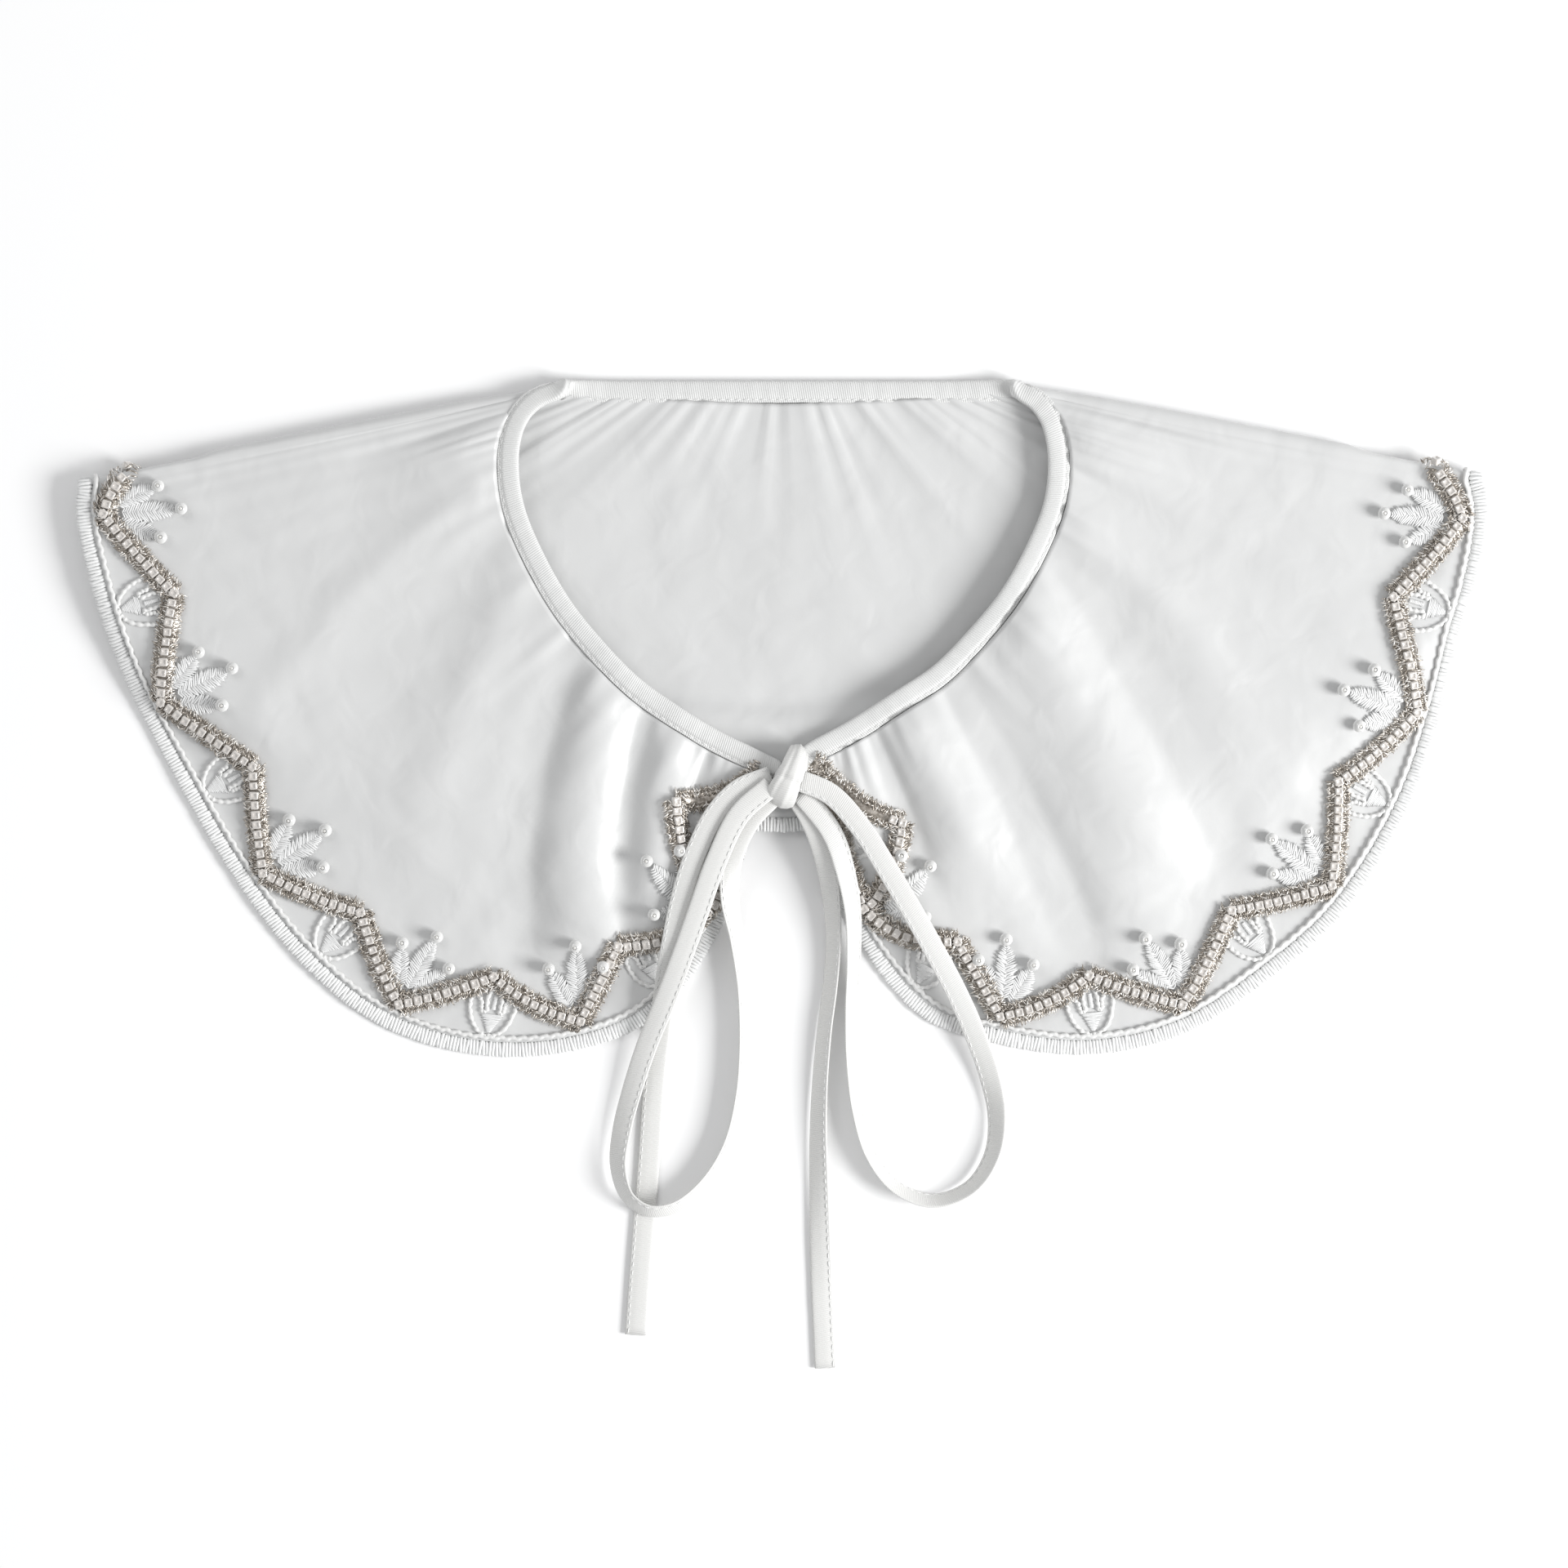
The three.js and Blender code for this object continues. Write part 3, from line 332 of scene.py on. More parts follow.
RIGHT_END = (
    (2.6, -20.4, 8.9, 0),
    (8, -29, 8.8, 0),
    (12, -40, 8.2, 12),
    (14, -52, 6.4, 36),
    (14.6, -64, 4.2, 48),
    (13.8, -76, 3, 50),
    (12, -90, 2.9, 50),
    (10.7, -105, 2.8, 46),
    (10.2, -120, 2.5, 38),
    (10.4, -135, 2, 26),
    (10.8, -150, 1.4, 12),
    (11.4, -168, 0.7, 0),
    (12.3, -187.8, 0.7, 0),
)
# The ties are set lighter than the cape, though cut from the same satin: painted light.
strip_satin = cloth_material("strip_satin", (0.74, 0.738, 0.722), 0.4, ribs=0.5)
ties = []
for name, rows, stitched, length, far_end in (
    ("tie_loop_left", LEFT_LOOP, -TIE_GROOVE, 0.278, "object"),
    ("tie_end_left", LEFT_END, TIE_GROOVE, 0.1745, "bare"),
    ("tie_loop_right", RIGHT_LOOP, TIE_GROOVE, 0.2849, "object"),
    ("tie_end_right", RIGHT_END, -TIE_GROOVE, 0.1706, "bare"),
):
    places, ups = tie_route(rows)
    points, faces, uv = sweep(places, ups, band_section(TIE_WIDE, TIE_THICK, 20, stitched, 0.35))
    piece = new_piece(name + "_strip", points, faces, strip_satin, uv)
    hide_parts(name)
    ties.append((places, ups, stitched))


# The cape: one layer of white satin cut nearly as a full ring, folded at both shoulders so that the two
# fronts lie over the back with their right side up. The back's wrong side shows inside the neck. Its
# pleats run from the gathered neck edge, and the whole is laid flat with soft standing folds.
WIDE, DEEP, NECK_WIDE, NECK_DROP = 408, 195.5, 159, 107.5
WALL = 1.0
LIES, BACK_NECK, FOLD_NECK, FOLD_BEND, FRONT_NECK = 0.5, 1.5, 2.2, 2.4, 6.6
TRIM_LIFT = 2.65  # the back's hem stands on the trim under it
OVER_BACK = LIES + TRIM_LIFT + WALL + 1.3
DRAPE_RUN, LONG_DRAPE = 22, 48  # a front comes down past the back's hem over these
BINDING_WIDE = 6.4
HEM_SHARE = 0.945  # the hem edging begins here, as a share of the way from the neck
NECK_INSET, HEM_INSET = 3.4, 4.1  # the satin ends this far inside the binding and the edging
SATIN_HALF = 0.42  # half of its thickness
FRONT_COUNT, BACK_COUNT, ARC_COUNT = 200, 70, 12
LEFT_FRONT = (  # neck out, neck down, hem out, hem down
    (0.802, -0.003, 0.996, 0.157),
    (0.879, 0.011, 0.999, 0.183),
    (0.945, 0.051, 0.996, 0.22),
    (0.986, 0.115, 0.983, 0.282),
    (0.998, 0.207, 0.96, 0.364),
    (0.977, 0.316, 0.917, 0.475),
    (0.909, 0.441, 0.859, 0.592),
    (0.802, 0.58, 0.784, 0.726),
    (0.678, 0.694, 0.689, 0.855),
    (0.544, 0.794, 0.576, 0.95),
    (0.411, 0.865, 0.443, 0.995),
    (0.292, 0.92, 0.31, 0.993),
    (0.194, 0.959, 0.191, 0.948),
    (0.129, 0.981, 0.112, 0.853),
    (0.09, 0.996, 0.058, 0.712),
    (0.07, 1.003, 0.028, 0.614),
)
RIGHT_FRONT = (  # neck out, neck down, hem out, hem down
    (0.85, -0.003, 0.99, 0.147),
    (0.909, 0.016, 0.997, 0.18),
    (0.962, 0.06, 0.996, 0.228),
    (0.992, 0.125, 0.98, 0.309),
    (1.001, 0.213, 0.961, 0.373),
    (0.983, 0.31, 0.93, 0.509),
    (0.924, 0.419, 0.885, 0.638),
    (0.823, 0.553, 0.794, 0.788),
    (0.701, 0.663, 0.695, 0.88),
    (0.568, 0.762, 0.569, 0.965),
    (0.435, 0.827, 0.435, 0.996),
    (0.316, 0.884, 0.308, 0.981),
    (0.227, 0.924, 0.198, 0.941),
    (0.159, 0.95, 0.113, 0.837),
    (0.117, 0.966, 0.066, 0.724),
    (0.093, 0.979, 0.027, 0.626),
)
BACK_HALF = (  # neck out, neck down, hem out, hem down
    (0.707, -0.002, 0.967, 0.234),
    (0.612, 0, 0.906, 0.34),
    (0.5, 0, 0.807, 0.439),
    (0.381, 0, 0.663, 0.526),
    (0.248, 0, 0.484, 0.598),
    (0.114, 0, 0.253, 0.648),
    (0, 0, 0, 0.667),
)
LEFT_RIDGES = (  # at the neck, at the hem, half width, high, reach
    (8.5, 11.8, 0.65, 3.4, 0.85),
    (10.3, 12.4, 0.55, 2.9, 0.85),
    (3.2, 4, 1.3, 2.2, 0.4),
)
RIGHT_RIDGES = (
    (7, 9.1, 0.75, 3.5, 0.9),
    (10.1, 10.3, 0.6, 3.2, 0.62),
    (2.6, 3, 1.1, 2, 0.4),
)
# Sharper creases of each front in the same columns; a negative height is a hollow
LEFT_CREASES = (
    (9.5, 12.2, 0.3, -2.3, 0.9),
    (7.7, 10.8, 0.35, -2.3, 0.85),
    (11.2, 13.0, 0.3, -1.2, 0.8),
    (6.2, 9.2, 0.4, 1.1, 0.75),
    (5.0, 7.9, 0.5, -1.0, 0.8),
    (4.0, 6.4, 0.32, 0.8, 0.95),
    (2.0, 2.4, 0.3, -0.7, 0.5),
)
RIGHT_CREASES = (
    (8.9, 9.6, 0.33, -2.7, 0.9),
    (11.0, 11.2, 0.3, -1.9, 0.6),
    (6.0, 8.0, 0.4, -2.0, 0.85),
    (5.0, 6.8, 0.4, 1.2, 0.7),
    (4.0, 5.0, 0.35, -0.9, 0.75),
    (12.0, 12.4, 0.3, 1.0, 0.6),
    (1.4, 1.8, 0.3, 0.8, 0.6),
)
SHARES = np.concatenate([np.linspace(0, 0.3, 28, endpoint=False), np.linspace(0.3, 1, 46)])
TRIM_SHARE, TRIM_RAMP = 0.7, 0.065  # where the back's cloth comes up on to the trim, and over how much
HANG_OVER = 4  # a front goes on this far past the back's hem before it comes down
BACK_GATHERS = {"first": 0.4, "last": 7.0, "count": 13, "tall": 1.0, "reach": 0.55}
FRONT_GATHERS = {"first": 2.2, "last": 14.5, "count": 26, "tall": 0.85, "reach": 0.3}
draws = np.random.RandomState(7)


def smooth(x):
    c = np.clip(x, 0, 1)
    return c * c * (3 - 2 * c)


def plan_curves(rows, side, count):
    """The neck and hem lines of a run of sections in mm, and the row that each section is at."""
    rows = np.array(rows)
    at = np.linspace(0, len(rows) - 1, count + 1)
    flat = np.zeros(len(rows))
    neck_top = DEEP / 2 - BINDING_WIDE / 2
    neck = np.stack([side * rows[:, 0] * NECK_WIDE / 2, neck_top - rows[:, 1] * NECK_DROP, flat], 1)
    hem = np.stack([side * rows[:, 2] * WIDE / 2, DEEP * (0.5 - rows[:, 3]), flat], 1)
    return centripetal(neck, at), centripetal(hem, at), at


def ridges_height(ridges, at, share):
    """Long soft folds of the drape, each along its own line from neck to hem."""
    high = 0
    for neck_at, hem_at, half_wide, tall, reach in ridges:
        crest = neck_at + (hem_at - neck_at) * share
        along = smooth(share / 0.15 + 0.3) * smooth((reach - share) / 0.3)
        high = high + tall * bell((at - crest) / half_wide) * along
    return high


def gathers_height(at, share, first, last, count, tall, reach):
    """Small puckers that start at the gathered neck edge and die out down the cloth."""
    high = 0
    for k in range(count):
        centre = first + (last - first) * (k + draws.uniform(-0.3, 0.3)) / count
        lean = draws.uniform(-0.6, 0.6)
        half_wide = draws.uniform(0.09, 0.2)
        ends = reach * draws.uniform(0.5, 1.3)
        fade = smooth((ends - share) / ends) * smooth(share / 0.03)
        pucker = bell((at - centre - lean * share) / half_wide) * fade
        high = high + tall * draws.uniform(0.3, 1) * pucker
    return high


def crossing(neck, hem, line):
    """Where each section crosses the line below it, as a share of its length; 2 where it doesn't."""
    run = (hem - neck)[:, None, :2]
    start = line[:-1][None, :, :2] - neck[:, None, :2]
    along = np.diff(line, axis=0)[None, :, :2]
    turn = run[..., 0] * along[..., 1] - run[..., 1] * along[..., 0]
    share = (start[..., 0] * along[..., 1] - start[..., 1] * along[..., 0]) / turn
    other = (start[..., 0] * run[..., 1] - start[..., 1] * run[..., 0]) / turn
    met = (share > 0) & (share < 1) & (other >= 0) & (other <= 1)
    return np.where(met, share, 2).min(axis=1)


def lay_back(side, fold_row):
    """Half of the back: its neck and hem lines, calm heights and the small lumps on them, in mm."""
    neck, hem, at = plan_curves((fold_row,) + BACK_HALF, side, BACK_COUNT)
    at, share = at[:, None], SHARES[None, :]
    rise = FOLD_NECK + (BACK_NECK - FOLD_NECK) * smooth(at / 2)
    calm = LIES + (rise - LIES) * smooth(1 - share / 0.2)
    calm = calm + TRIM_LIFT * smooth((share - TRIM_SHARE) / TRIM_RAMP)
    calm = calm - 0.6 * smooth((share - HEM_SHARE) / (1 - HEM_SHARE))
    pleats = gathers_height(at, share, **BACK_GATHERS) * smooth(at / 0.6)
    low = 0.5 * smooth(np.sin(at * 1.9 + side + share * 2) * 0.5 + 0.3) * smooth((0.68 - share) / 0.2)
    return neck, hem, calm, pleats + low * smooth(at / 0.8)


def lay_front(rows, side, ridges, creases, back_hem):
    """One front in the same four parts: over the back, then down past the back's hem to the table."""
    neck, hem, at = plan_curves(rows, side, FRONT_COUNT)
    cross = crossing(neck, hem, back_hem)[:, None]
    run = np.linalg.norm(hem - neck, axis=1)[:, None]
    at, share = at[:, None], SHARES[None, :]
    fold_top = FOLD_NECK + FOLD_BEND
    rise = fold_top + (FRONT_NECK - fold_top) * smooth(at / 3)
    table = LIES + 0.3 * smooth((share - HEM_SHARE) / (1 - HEM_SHARE))
    room = np.clip((1 - cross) * run * 0.8, DRAPE_RUN, LONG_DRAPE)
    down = smooth(((share - cross) * run - HANG_OVER) / room)
    calm = OVER_BACK + (table - OVER_BACK) * down + (rise - OVER_BACK) * smooth(1 - share / 0.4) * (1 - down)
    ridged = ridges_height(ridges, at, share)
    fine = ridges_height(creases, at, share) + gathers_height(at, share, **FRONT_GATHERS)
    folded = ridged + fine
    deepest = 0.8  # a hollow never goes further down into the back that lies under it
    fine = fine + np.where(folded < 0, deepest * np.tanh(folded / deepest) - folded, 0)
    ripple = np.sin(at * 7.3 + share * 9 + side) * np.sin(at * 2.1 - share * 5) * 0.12
    return neck, hem, calm + ridged, (fine + ripple) * smooth(at / 0.5) * smooth((15.2 - at) / 0.6)


def grid_of(neck, hem, high):
    points = neck[:, None] + (hem - neck)[:, None] * SHARES[None, :, None]
    points[..., 2] = high
    return points


def lay_fold(lower, upper):
    """The rounded shoulder fold, from the back's first section up and over to the front's."""
    along = unit((upper[-1] - upper[0]) * (1, 1, 0))
    outward = np.array([-along[1], along[0], 0])
    outward = outward * np.sign(outward[1])
    angles = math.pi * (np.arange(1, ARC_COUNT) / ARC_COUNT - 0.5)
    middle = (lower + upper) / 2
    radius = (upper[:, 2:] - lower[:, 2:]) / 2
    ways = [outward * math.cos(a) + np.array([0, 0, math.sin(a)]) for a in angles]
    return np.array([middle + radius * way for way in ways])


left_back = lay_back(-1, LEFT_FRONT[0])
right_back = lay_back(1, RIGHT_FRONT[0])
back_hem = np.vstack([left_back[1], right_back[1][::-1]])
left_front = lay_front(LEFT_FRONT, -1, LEFT_RIDGES, LEFT_CREASES, back_hem)
right_front = lay_front(RIGHT_FRONT, 1, RIGHT_RIDGES, RIGHT_CREASES, back_hem)


def whole_strip(lumps):
    """The cloth's middle surface as sections from the left front corner to the right one, in mm."""
    halves = (left_front, left_back, right_back, right_front)
    grids = [grid_of(neck, hem, calm + lumps * fine) for neck, hem, calm, fine in halves]
    left_arc = lay_fold(grids[1][0], grids[0][0])[::-1]
    right_arc = lay_fold(grids[2][0], grids[3][0])
    return np.concatenate([grids[0][::-1], left_arc, grids[1], grids[2][-2::-1], right_arc, grids[3]])


calm_strip = whole_strip(0)
strip = whole_strip(1)
# The sections at the outermost line of each shoulder fold
LEFT_FOLD = FRONT_COUNT + ARC_COUNT // 2
RIGHT_FOLD = len(strip) - 1 - LEFT_FOLD


def on_cloth(grid, s, t):
    """Points of the cloth: s counts its sections, t is the share from neck to hem."""
    s = np.clip(s, 0, len(grid) - 1.001)
    j = np.clip(np.searchsorted(SHARES, t, side="right") - 1, 0, len(SHARES) - 2)
    i = np.floor(s).astype(int)
    u = (s - i)[:, None]
    v = ((t - SHARES[j]) / (SHARES[j + 1] - SHARES[j]))[:, None]
    inner = grid[i, j] * (1 - u) + grid[i + 1, j] * u
    outer = grid[i, j + 1] * (1 - u) + grid[i + 1, j + 1] * u
    return inner * (1 - v) + outer * v


def cloth_frame(grid, s, t, step_s=1.5, step_t=0.02):
    """Directions along the strip and from neck to hem, and the one out of the right side."""
    s0, s1 = np.maximum(s - step_s, 0), np.minimum(s + step_s, len(grid) - 1.001)
    t0, t1 = np.maximum(t - step_t, 0), np.minimum(t + step_t, 1)
    along = (on_cloth(grid, s1, t) - on_cloth(grid, s0, t)) / (s1 - s0)[:, None]
    down = (on_cloth(grid, s, t1) - on_cloth(grid, s, t0)) / (t1 - t0)[:, None]
    return along, down, unit(np.cross(along, down))


def slide(s, t, move):
    """Moves places on the calm cloth by vectors that lie in it."""
    along, down, _ = cloth_frame(calm_strip, s, np.minimum(t, 0.99))
    aa, ad, dd = (np.sum(p * q, axis=1) for p, q in ((along, along), (along, down), (down, down)))
    am, dm = np.sum(along * move, axis=1), np.sum(down * move, axis=1)
    det = aa * dd - ad * ad
    ends = len(calm_strip) - 1.001
    return np.clip(s + (am * dd - dm * ad) / det, 0, ends), np.maximum(t + (dm * aa - am * ad) / det, 0)


def walk(s, t, ahead, inward, steps=6):
    """Walks over the cloth, round a fold too: ahead along the strip and inward from the hem, in mm."""
    for _ in range(steps):
        along, _, normal = cloth_frame(calm_strip, s, np.minimum(t, 0.99))
        forward = unit(along)
        move = forward * (ahead / steps)[:, None] + np.cross(forward, normal) * (inward / steps)[:, None]
        s, t = slide(s, t, move)
    return s, t


def cape_mesh():
    grid = strip.copy()
    sections, shares = (a.ravel() for a in np.meshgrid(np.arange(len(strip)), SHARES, indexing="ij"))
    _, _, normals = cloth_frame(strip, sections, shares, step_s=1.0, step_t=0.012)
    normals = normals.reshape(strip.shape)
    run = strip[:, -1] - strip[:, 0]
    runs = np.linalg.norm(run, axis=1)
    across = np.abs(np.cross(unit(np.gradient(strip[:, -1], axis=0)), unit(run)))
    slant = np.clip(np.linalg.norm(across, axis=1), 0.3, 1)
    first = NECK_INSET / runs
    last = 1 - HEM_INSET / (runs * slant)
    for i in range(len(strip)):
        wanted = first[i] + (last[i] - first[i]) * SHARES
        grid[i] = read_at(wanted, SHARES, strip[i])
        normals[i] = read_at(wanted, SHARES, normals[i])
    right, wrong = grid + normals * SATIN_HALF, grid - normals * SATIN_HALF
    n, m = grid.shape[:2]
    points = np.concatenate([right.reshape(-1, 3), wrong.reshape(-1, 3)]) * MM
    along = lengths_along(grid[:, m // 2]) * MM
    down = SHARES[None, :] * runs[:, None] * MM
    faces, uv = [], []

    def quad(corners, places, turned):
        order = range(3, -1, -1) if turned else range(4)
        faces.append(tuple(corners[k] for k in order))
        uv.extend((along[places[k][0]], down[places[k]]) for k in order)

    for i in range(n - 1):
        for j in range(m - 1):
            places = ((i, j), (i + 1, j), (i + 1, j + 1), (i, j + 1))
            ids = [a * m + b for a, b in places]
            quad(ids, places, False)
            quad([k + n * m for k in ids], places, True)
    rim = [(i, 0) for i in range(n)] + [(n - 1, j) for j in range(1, m)]
    rim += [(i, m - 1) for i in range(n - 2, -1, -1)] + [(0, j) for j in range(m - 2, 0, -1)]
    for a, b in zip(rim, rim[1:] + rim[:1]):
        ids = [a[0] * m + a[1], b[0] * m + b[1]]
        quad([ids[1], ids[0], ids[0] + n * m, ids[1] + n * m], (b, a, a, b), False)
    return points, faces, uv


satin = cloth_material("satin", (0.632, 0.635, 0.632), 0.38, grain=0.1, rumple=1.2)
points, faces, uv = cape_mesh()
cape = new_piece("cape_satin", points, faces, satin, uv)
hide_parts("cape")


# The neck binding: a bias strip of the same satin folded over the raw neck edge, 6.4 mm wide and softly
# padded by the seam inside it, with fine twill ribs and a line of stitches along its outer edge.
BINDING_THICK = 2.4
BINDING_GROOVE = -0.7  # where its stitches run, as a share of half its width
STITCH_LONG, STITCH_PITCH, STITCH_THICK = 1.7, 2.4, 0.32
POINT_WORDS = ("forward", "upward", "size")


def ring_of(count):
    angles = np.arange(count) * math.tau / count
    return np.stack([np.cos(angles), np.sin(angles)], axis=1)


def thread_shape(name, length, thick, bend, sides, steps):
    """One short thread lying along X, a closed tube that arches by bend, in mm."""
    at = np.linspace(-1, 1, steps + 1)
    path = np.stack([at * length / 2, 0 * at, bend * (1 - at**2)], axis=1)
    swell = thick / 2 * np.clip(1 - at**6, 0.35, 1)
    points, faces, _ = sweep(path, np.array([0.0, 0.0, 1.0]), swell[:, None, None] * ring_of(sides))
    return smooth_mesh(name, points, faces)


def repeat_group():
    """A node group that sets a shape on every point: forward is its X, upward its Z, size its scale."""
    tree = bpy.data.node_groups.new("repeat_on_points", "GeometryNodeTree")
    for name, kind in (("Geometry", "Geometry"), ("Shape", "Object"), ("Material", "Material"),
                       ("Size Jitter", "Float"), ("Turn Jitter", "Float"), ("Seed", "Int")):
        tree.interface.new_socket(name, in_out="INPUT", socket_type="NodeSocket" + kind)
    tree.interface.new_socket("Geometry", in_out="OUTPUT", socket_type="NodeSocketGeometry")
    given = tree.nodes.new("NodeGroupInput").outputs

    def jitter(word, shift):
        low = add_node(tree, "ShaderNodeMath", {0: given[word], 1: -1}, operation="MULTIPLY")
        seed = add_node(tree, "ShaderNodeMath", {0: given["Seed"], 1: shift})
        draw = {2: low.outputs[0], 3: given[word], "Seed": seed.outputs[0]}
        return add_node(tree, "FunctionNodeRandomValue", draw).outputs[1]

    forward, upward, size = (
        add_node(tree, "GeometryNodeInputNamedAttribute", {"Name": word}, data_type="FLOAT_VECTOR").outputs[0]
        for word in POINT_WORDS)
    turn = add_node(tree, "FunctionNodeAxesToRotation", {"Primary Axis": forward, "Secondary Axis": upward},
                    primary_axis="X", secondary_axis="Z")
    spin = add_node(tree, "ShaderNodeCombineXYZ", {"Z": jitter("Turn Jitter", 1)})
    twist = add_node(tree, "FunctionNodeEulerToRotation", {0: spin.outputs[0]})
    both = add_node(tree, "FunctionNodeRotateRotation", {0: turn.outputs[0], 1: twist.outputs[0]},
                    rotation_space="LOCAL")
    grown = add_node(tree, "ShaderNodeMath", {0: jitter("Size Jitter", 0), 1: 1})
    scaled = add_node(tree, "ShaderNodeVectorMath", {0: size, "Scale": grown.outputs[0]}, operation="SCALE")
    shape = add_node(tree, "GeometryNodeObjectInfo", {"Object": given["Shape"]})
    setter = add_node(tree, "GeometryNodeInstanceOnPoints", {
        "Points": given["Geometry"], "Instance": shape.outputs["Geometry"], "Rotation": both.outputs[0],
        "Scale": scaled.outputs[0]})
    real = add_node(tree, "GeometryNodeRealizeInstances", {0: setter.outputs[0]})
    dress = add_node(tree, "GeometryNodeSetMaterial", {"Geometry": real.outputs[0],
                                                       "Material": given["Material"]})
    add_node(tree, "NodeGroupOutput", {0: dress.outputs[0]})
    return tree


REPEAT = repeat_group()


def repeat(name, shape, places, forward, upward, material, sizes=(1, 1, 1), size_jitter=0.0,
           turn_jitter=0.0, seed=1):
    """A piece made of one shape repeated at places, in mm, through the node group above."""
    points = bpy.data.meshes.new(name + "_points")
    points.from_pydata([tuple(p) for p in places * MM], [], [])
    for word, values in zip(POINT_WORDS, (forward, upward, sizes)):
        values = np.ascontiguousarray(np.broadcast_to(values, (len(places), 3)), np.float32)
        points.attributes.new(word, "FLOAT_VECTOR", "POINT").data.foreach_set("vector", values.ravel())
    holder, shape = (bpy.data.objects.new(mesh.name, mesh) for mesh in (points, shape))
    scene.collection.objects.link(holder)
    scene.collection.objects.link(shape)
    modifier = holder.modifiers.new("repeat", "NODES")
    modifier.node_group = REPEAT
    given = {"Shape": shape, "Material": material, "Size Jitter": size_jitter, "Turn Jitter": turn_jitter,
             "Seed": seed}
    for item in REPEAT.interface.items_tree:
        if item.in_out == "INPUT" and item.name in given:
            modifier[item.identifier] = given[item.name]
    bpy.context.view_layer.update()
    mesh = bpy.data.meshes.new_from_object(holder.evaluated_get(bpy.context.evaluated_depsgraph_get()))
    mesh.name = name
    bpy.data.objects.remove(holder)
    bpy.data.objects.remove(shape)
    for word in POINT_WORDS:
        if word in mesh.attributes:
            mesh.attributes.remove(mesh.attributes[word])
    return put_in(mesh)


def thread_material(name, color, roughness=0.45):
    material, tree = new_material(name, {"Roughness": roughness, "Sheen Weight": 0.3})
    noise = add_noise(tree, Scale=900)
    mixed_color(tree, noise, [c * 0.8 for c in color], color)
    add_bump(tree, noise, 0.3, 0.0001)
    return material


def evenly(line, pitch, *kept):
    """A line, and whatever else is kept along it, read anew at places about pitch apart."""
    length = lengths_along(line)
    count = max(int(round(length[-1] / pitch)), 1)
    at = (np.arange(count) + 0.5) * length[-1] / count
    return [read_at(at, length, values) for values in (line, *kept)]


INTO_KNOT_LEFT = ((0.2, -15.4, 7.4), (-2.6, -14.4, 7.1))
INTO_KNOT_RIGHT = ((3.6, -14.2, 7.1), (1.4, -15.2, 7.4))
BINDING_RINGS = 520
TURN_RUN, PATH_RUN = 15, 3  # the lengths over which its turn and its path are smoothed
BINDING_STITCH, TIE_STITCH = 0.68, 0.3  # how high the stitches lie from the middle of each strip
kept = [i for i in range(len(strip)) if i in (LEFT_FOLD, RIGHT_FOLD)
        or min(abs(i - LEFT_FOLD), abs(i - RIGHT_FOLD)) > ARC_COUNT // 2]
_, _, neck_ups = cloth_frame(calm_strip, np.array(kept, float), np.full(len(kept), 0.22))
neck_line = np.vstack([INTO_KNOT_LEFT, calm_strip[kept, 0], INTO_KNOT_RIGHT])
neck_ups = np.vstack([neck_ups[:1], neck_ups[:1], neck_ups, neck_ups[-1:], neck_ups[-1:]])
neck_length = lengths_along(neck_line)
neck_at = np.linspace(0, neck_length[-1], BINDING_RINGS)
weights = bell((neck_at[:, None] - neck_length[None, :]) / TURN_RUN)
neck_ups = unit((weights * np.gradient(neck_length)) @ neck_ups)
soften = bell((neck_at[:, None] - neck_at[None, :]) / PATH_RUN)
neck_path = (soften @ read_at(neck_at, neck_length, neck_line)) / soften.sum(axis=1, keepdims=True)
swell = 1 + 0.04 * np.sin(neck_at * 0.9 + np.sin(neck_at * 0.23) * 2)
rolled = 1 + 1.5 * (1 - np.abs(neck_ups[:, 2]))  # where it turns over the shoulder it is rolled round
narrow = 1 - 0.25 * np.exp(-np.minimum(neck_at, neck_length[-1] - neck_at) / 3)
section = band_section(BINDING_WIDE, BINDING_THICK, 28, BINDING_GROOVE, 0.4)
ridged = section[None] * np.stack([narrow, swell * rolled], axis=1)[:, None]
points, faces, uv = sweep(neck_path, neck_ups, ridged)
# The binding is set lighter than the cape, though cut from the same satin: painted light.
binding_satin = cloth_material("binding_satin", (0.7, 0.703, 0.694), 0.4, ribs=0.7, rib_pitch=0.62)
binding = new_piece("neck_binding_strip", points, faces, binding_satin, uv)
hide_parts("neck_binding")

white_thread = thread_material("white_thread", (0.86, 0.86, 0.85))
seams = [(neck_path, neck_ups, BINDING_GROOVE * BINDING_WIDE / 2, BINDING_STITCH, hand) for hand in (1, -1)]
seams += [(places, ups, groove * TIE_WIDE / 2, TIE_STITCH, 1) for places, ups, groove in ties]
rows = []
for line, ups, sideways, high, hand in seams:
    travel, side, ups = line_frame(line, ups)
    rows.append(evenly(line + side * sideways + ups * high * hand, STITCH_PITCH, travel, ups * hand))
spots, ahead, upward = (np.vstack(kind) for kind in zip(*rows))
repeat("seam_stitches", thread_shape("stitch", STITCH_LONG, STITCH_THICK, 0.08, 5, 4), spots, ahead, upward,
       white_thread, size_jitter=0.08, turn_jitter=0.12)


# The overlocked hem: the raw edge is wrapped in white thread over 4 mm, one loop about every millimetre, and
# a white twisted cord is couched just inside it.
EDGING_WIDE, EDGING_THICK, LOOP_PITCH = 4.0, 1.1, 0.95
CORD_INSET, CORD_THICK, CORD_TWIST = 5.3, 1.3, 3.4
NEAR_HEM = 0.995  # nothing is set on the cloth beyond this share of it

hem_length = lengths_along(calm_strip[:, -1])
HEM_LONG = hem_length[-1]


def section_at(length):
    return np.interp(length, hem_length, np.arange(len(calm_strip)))


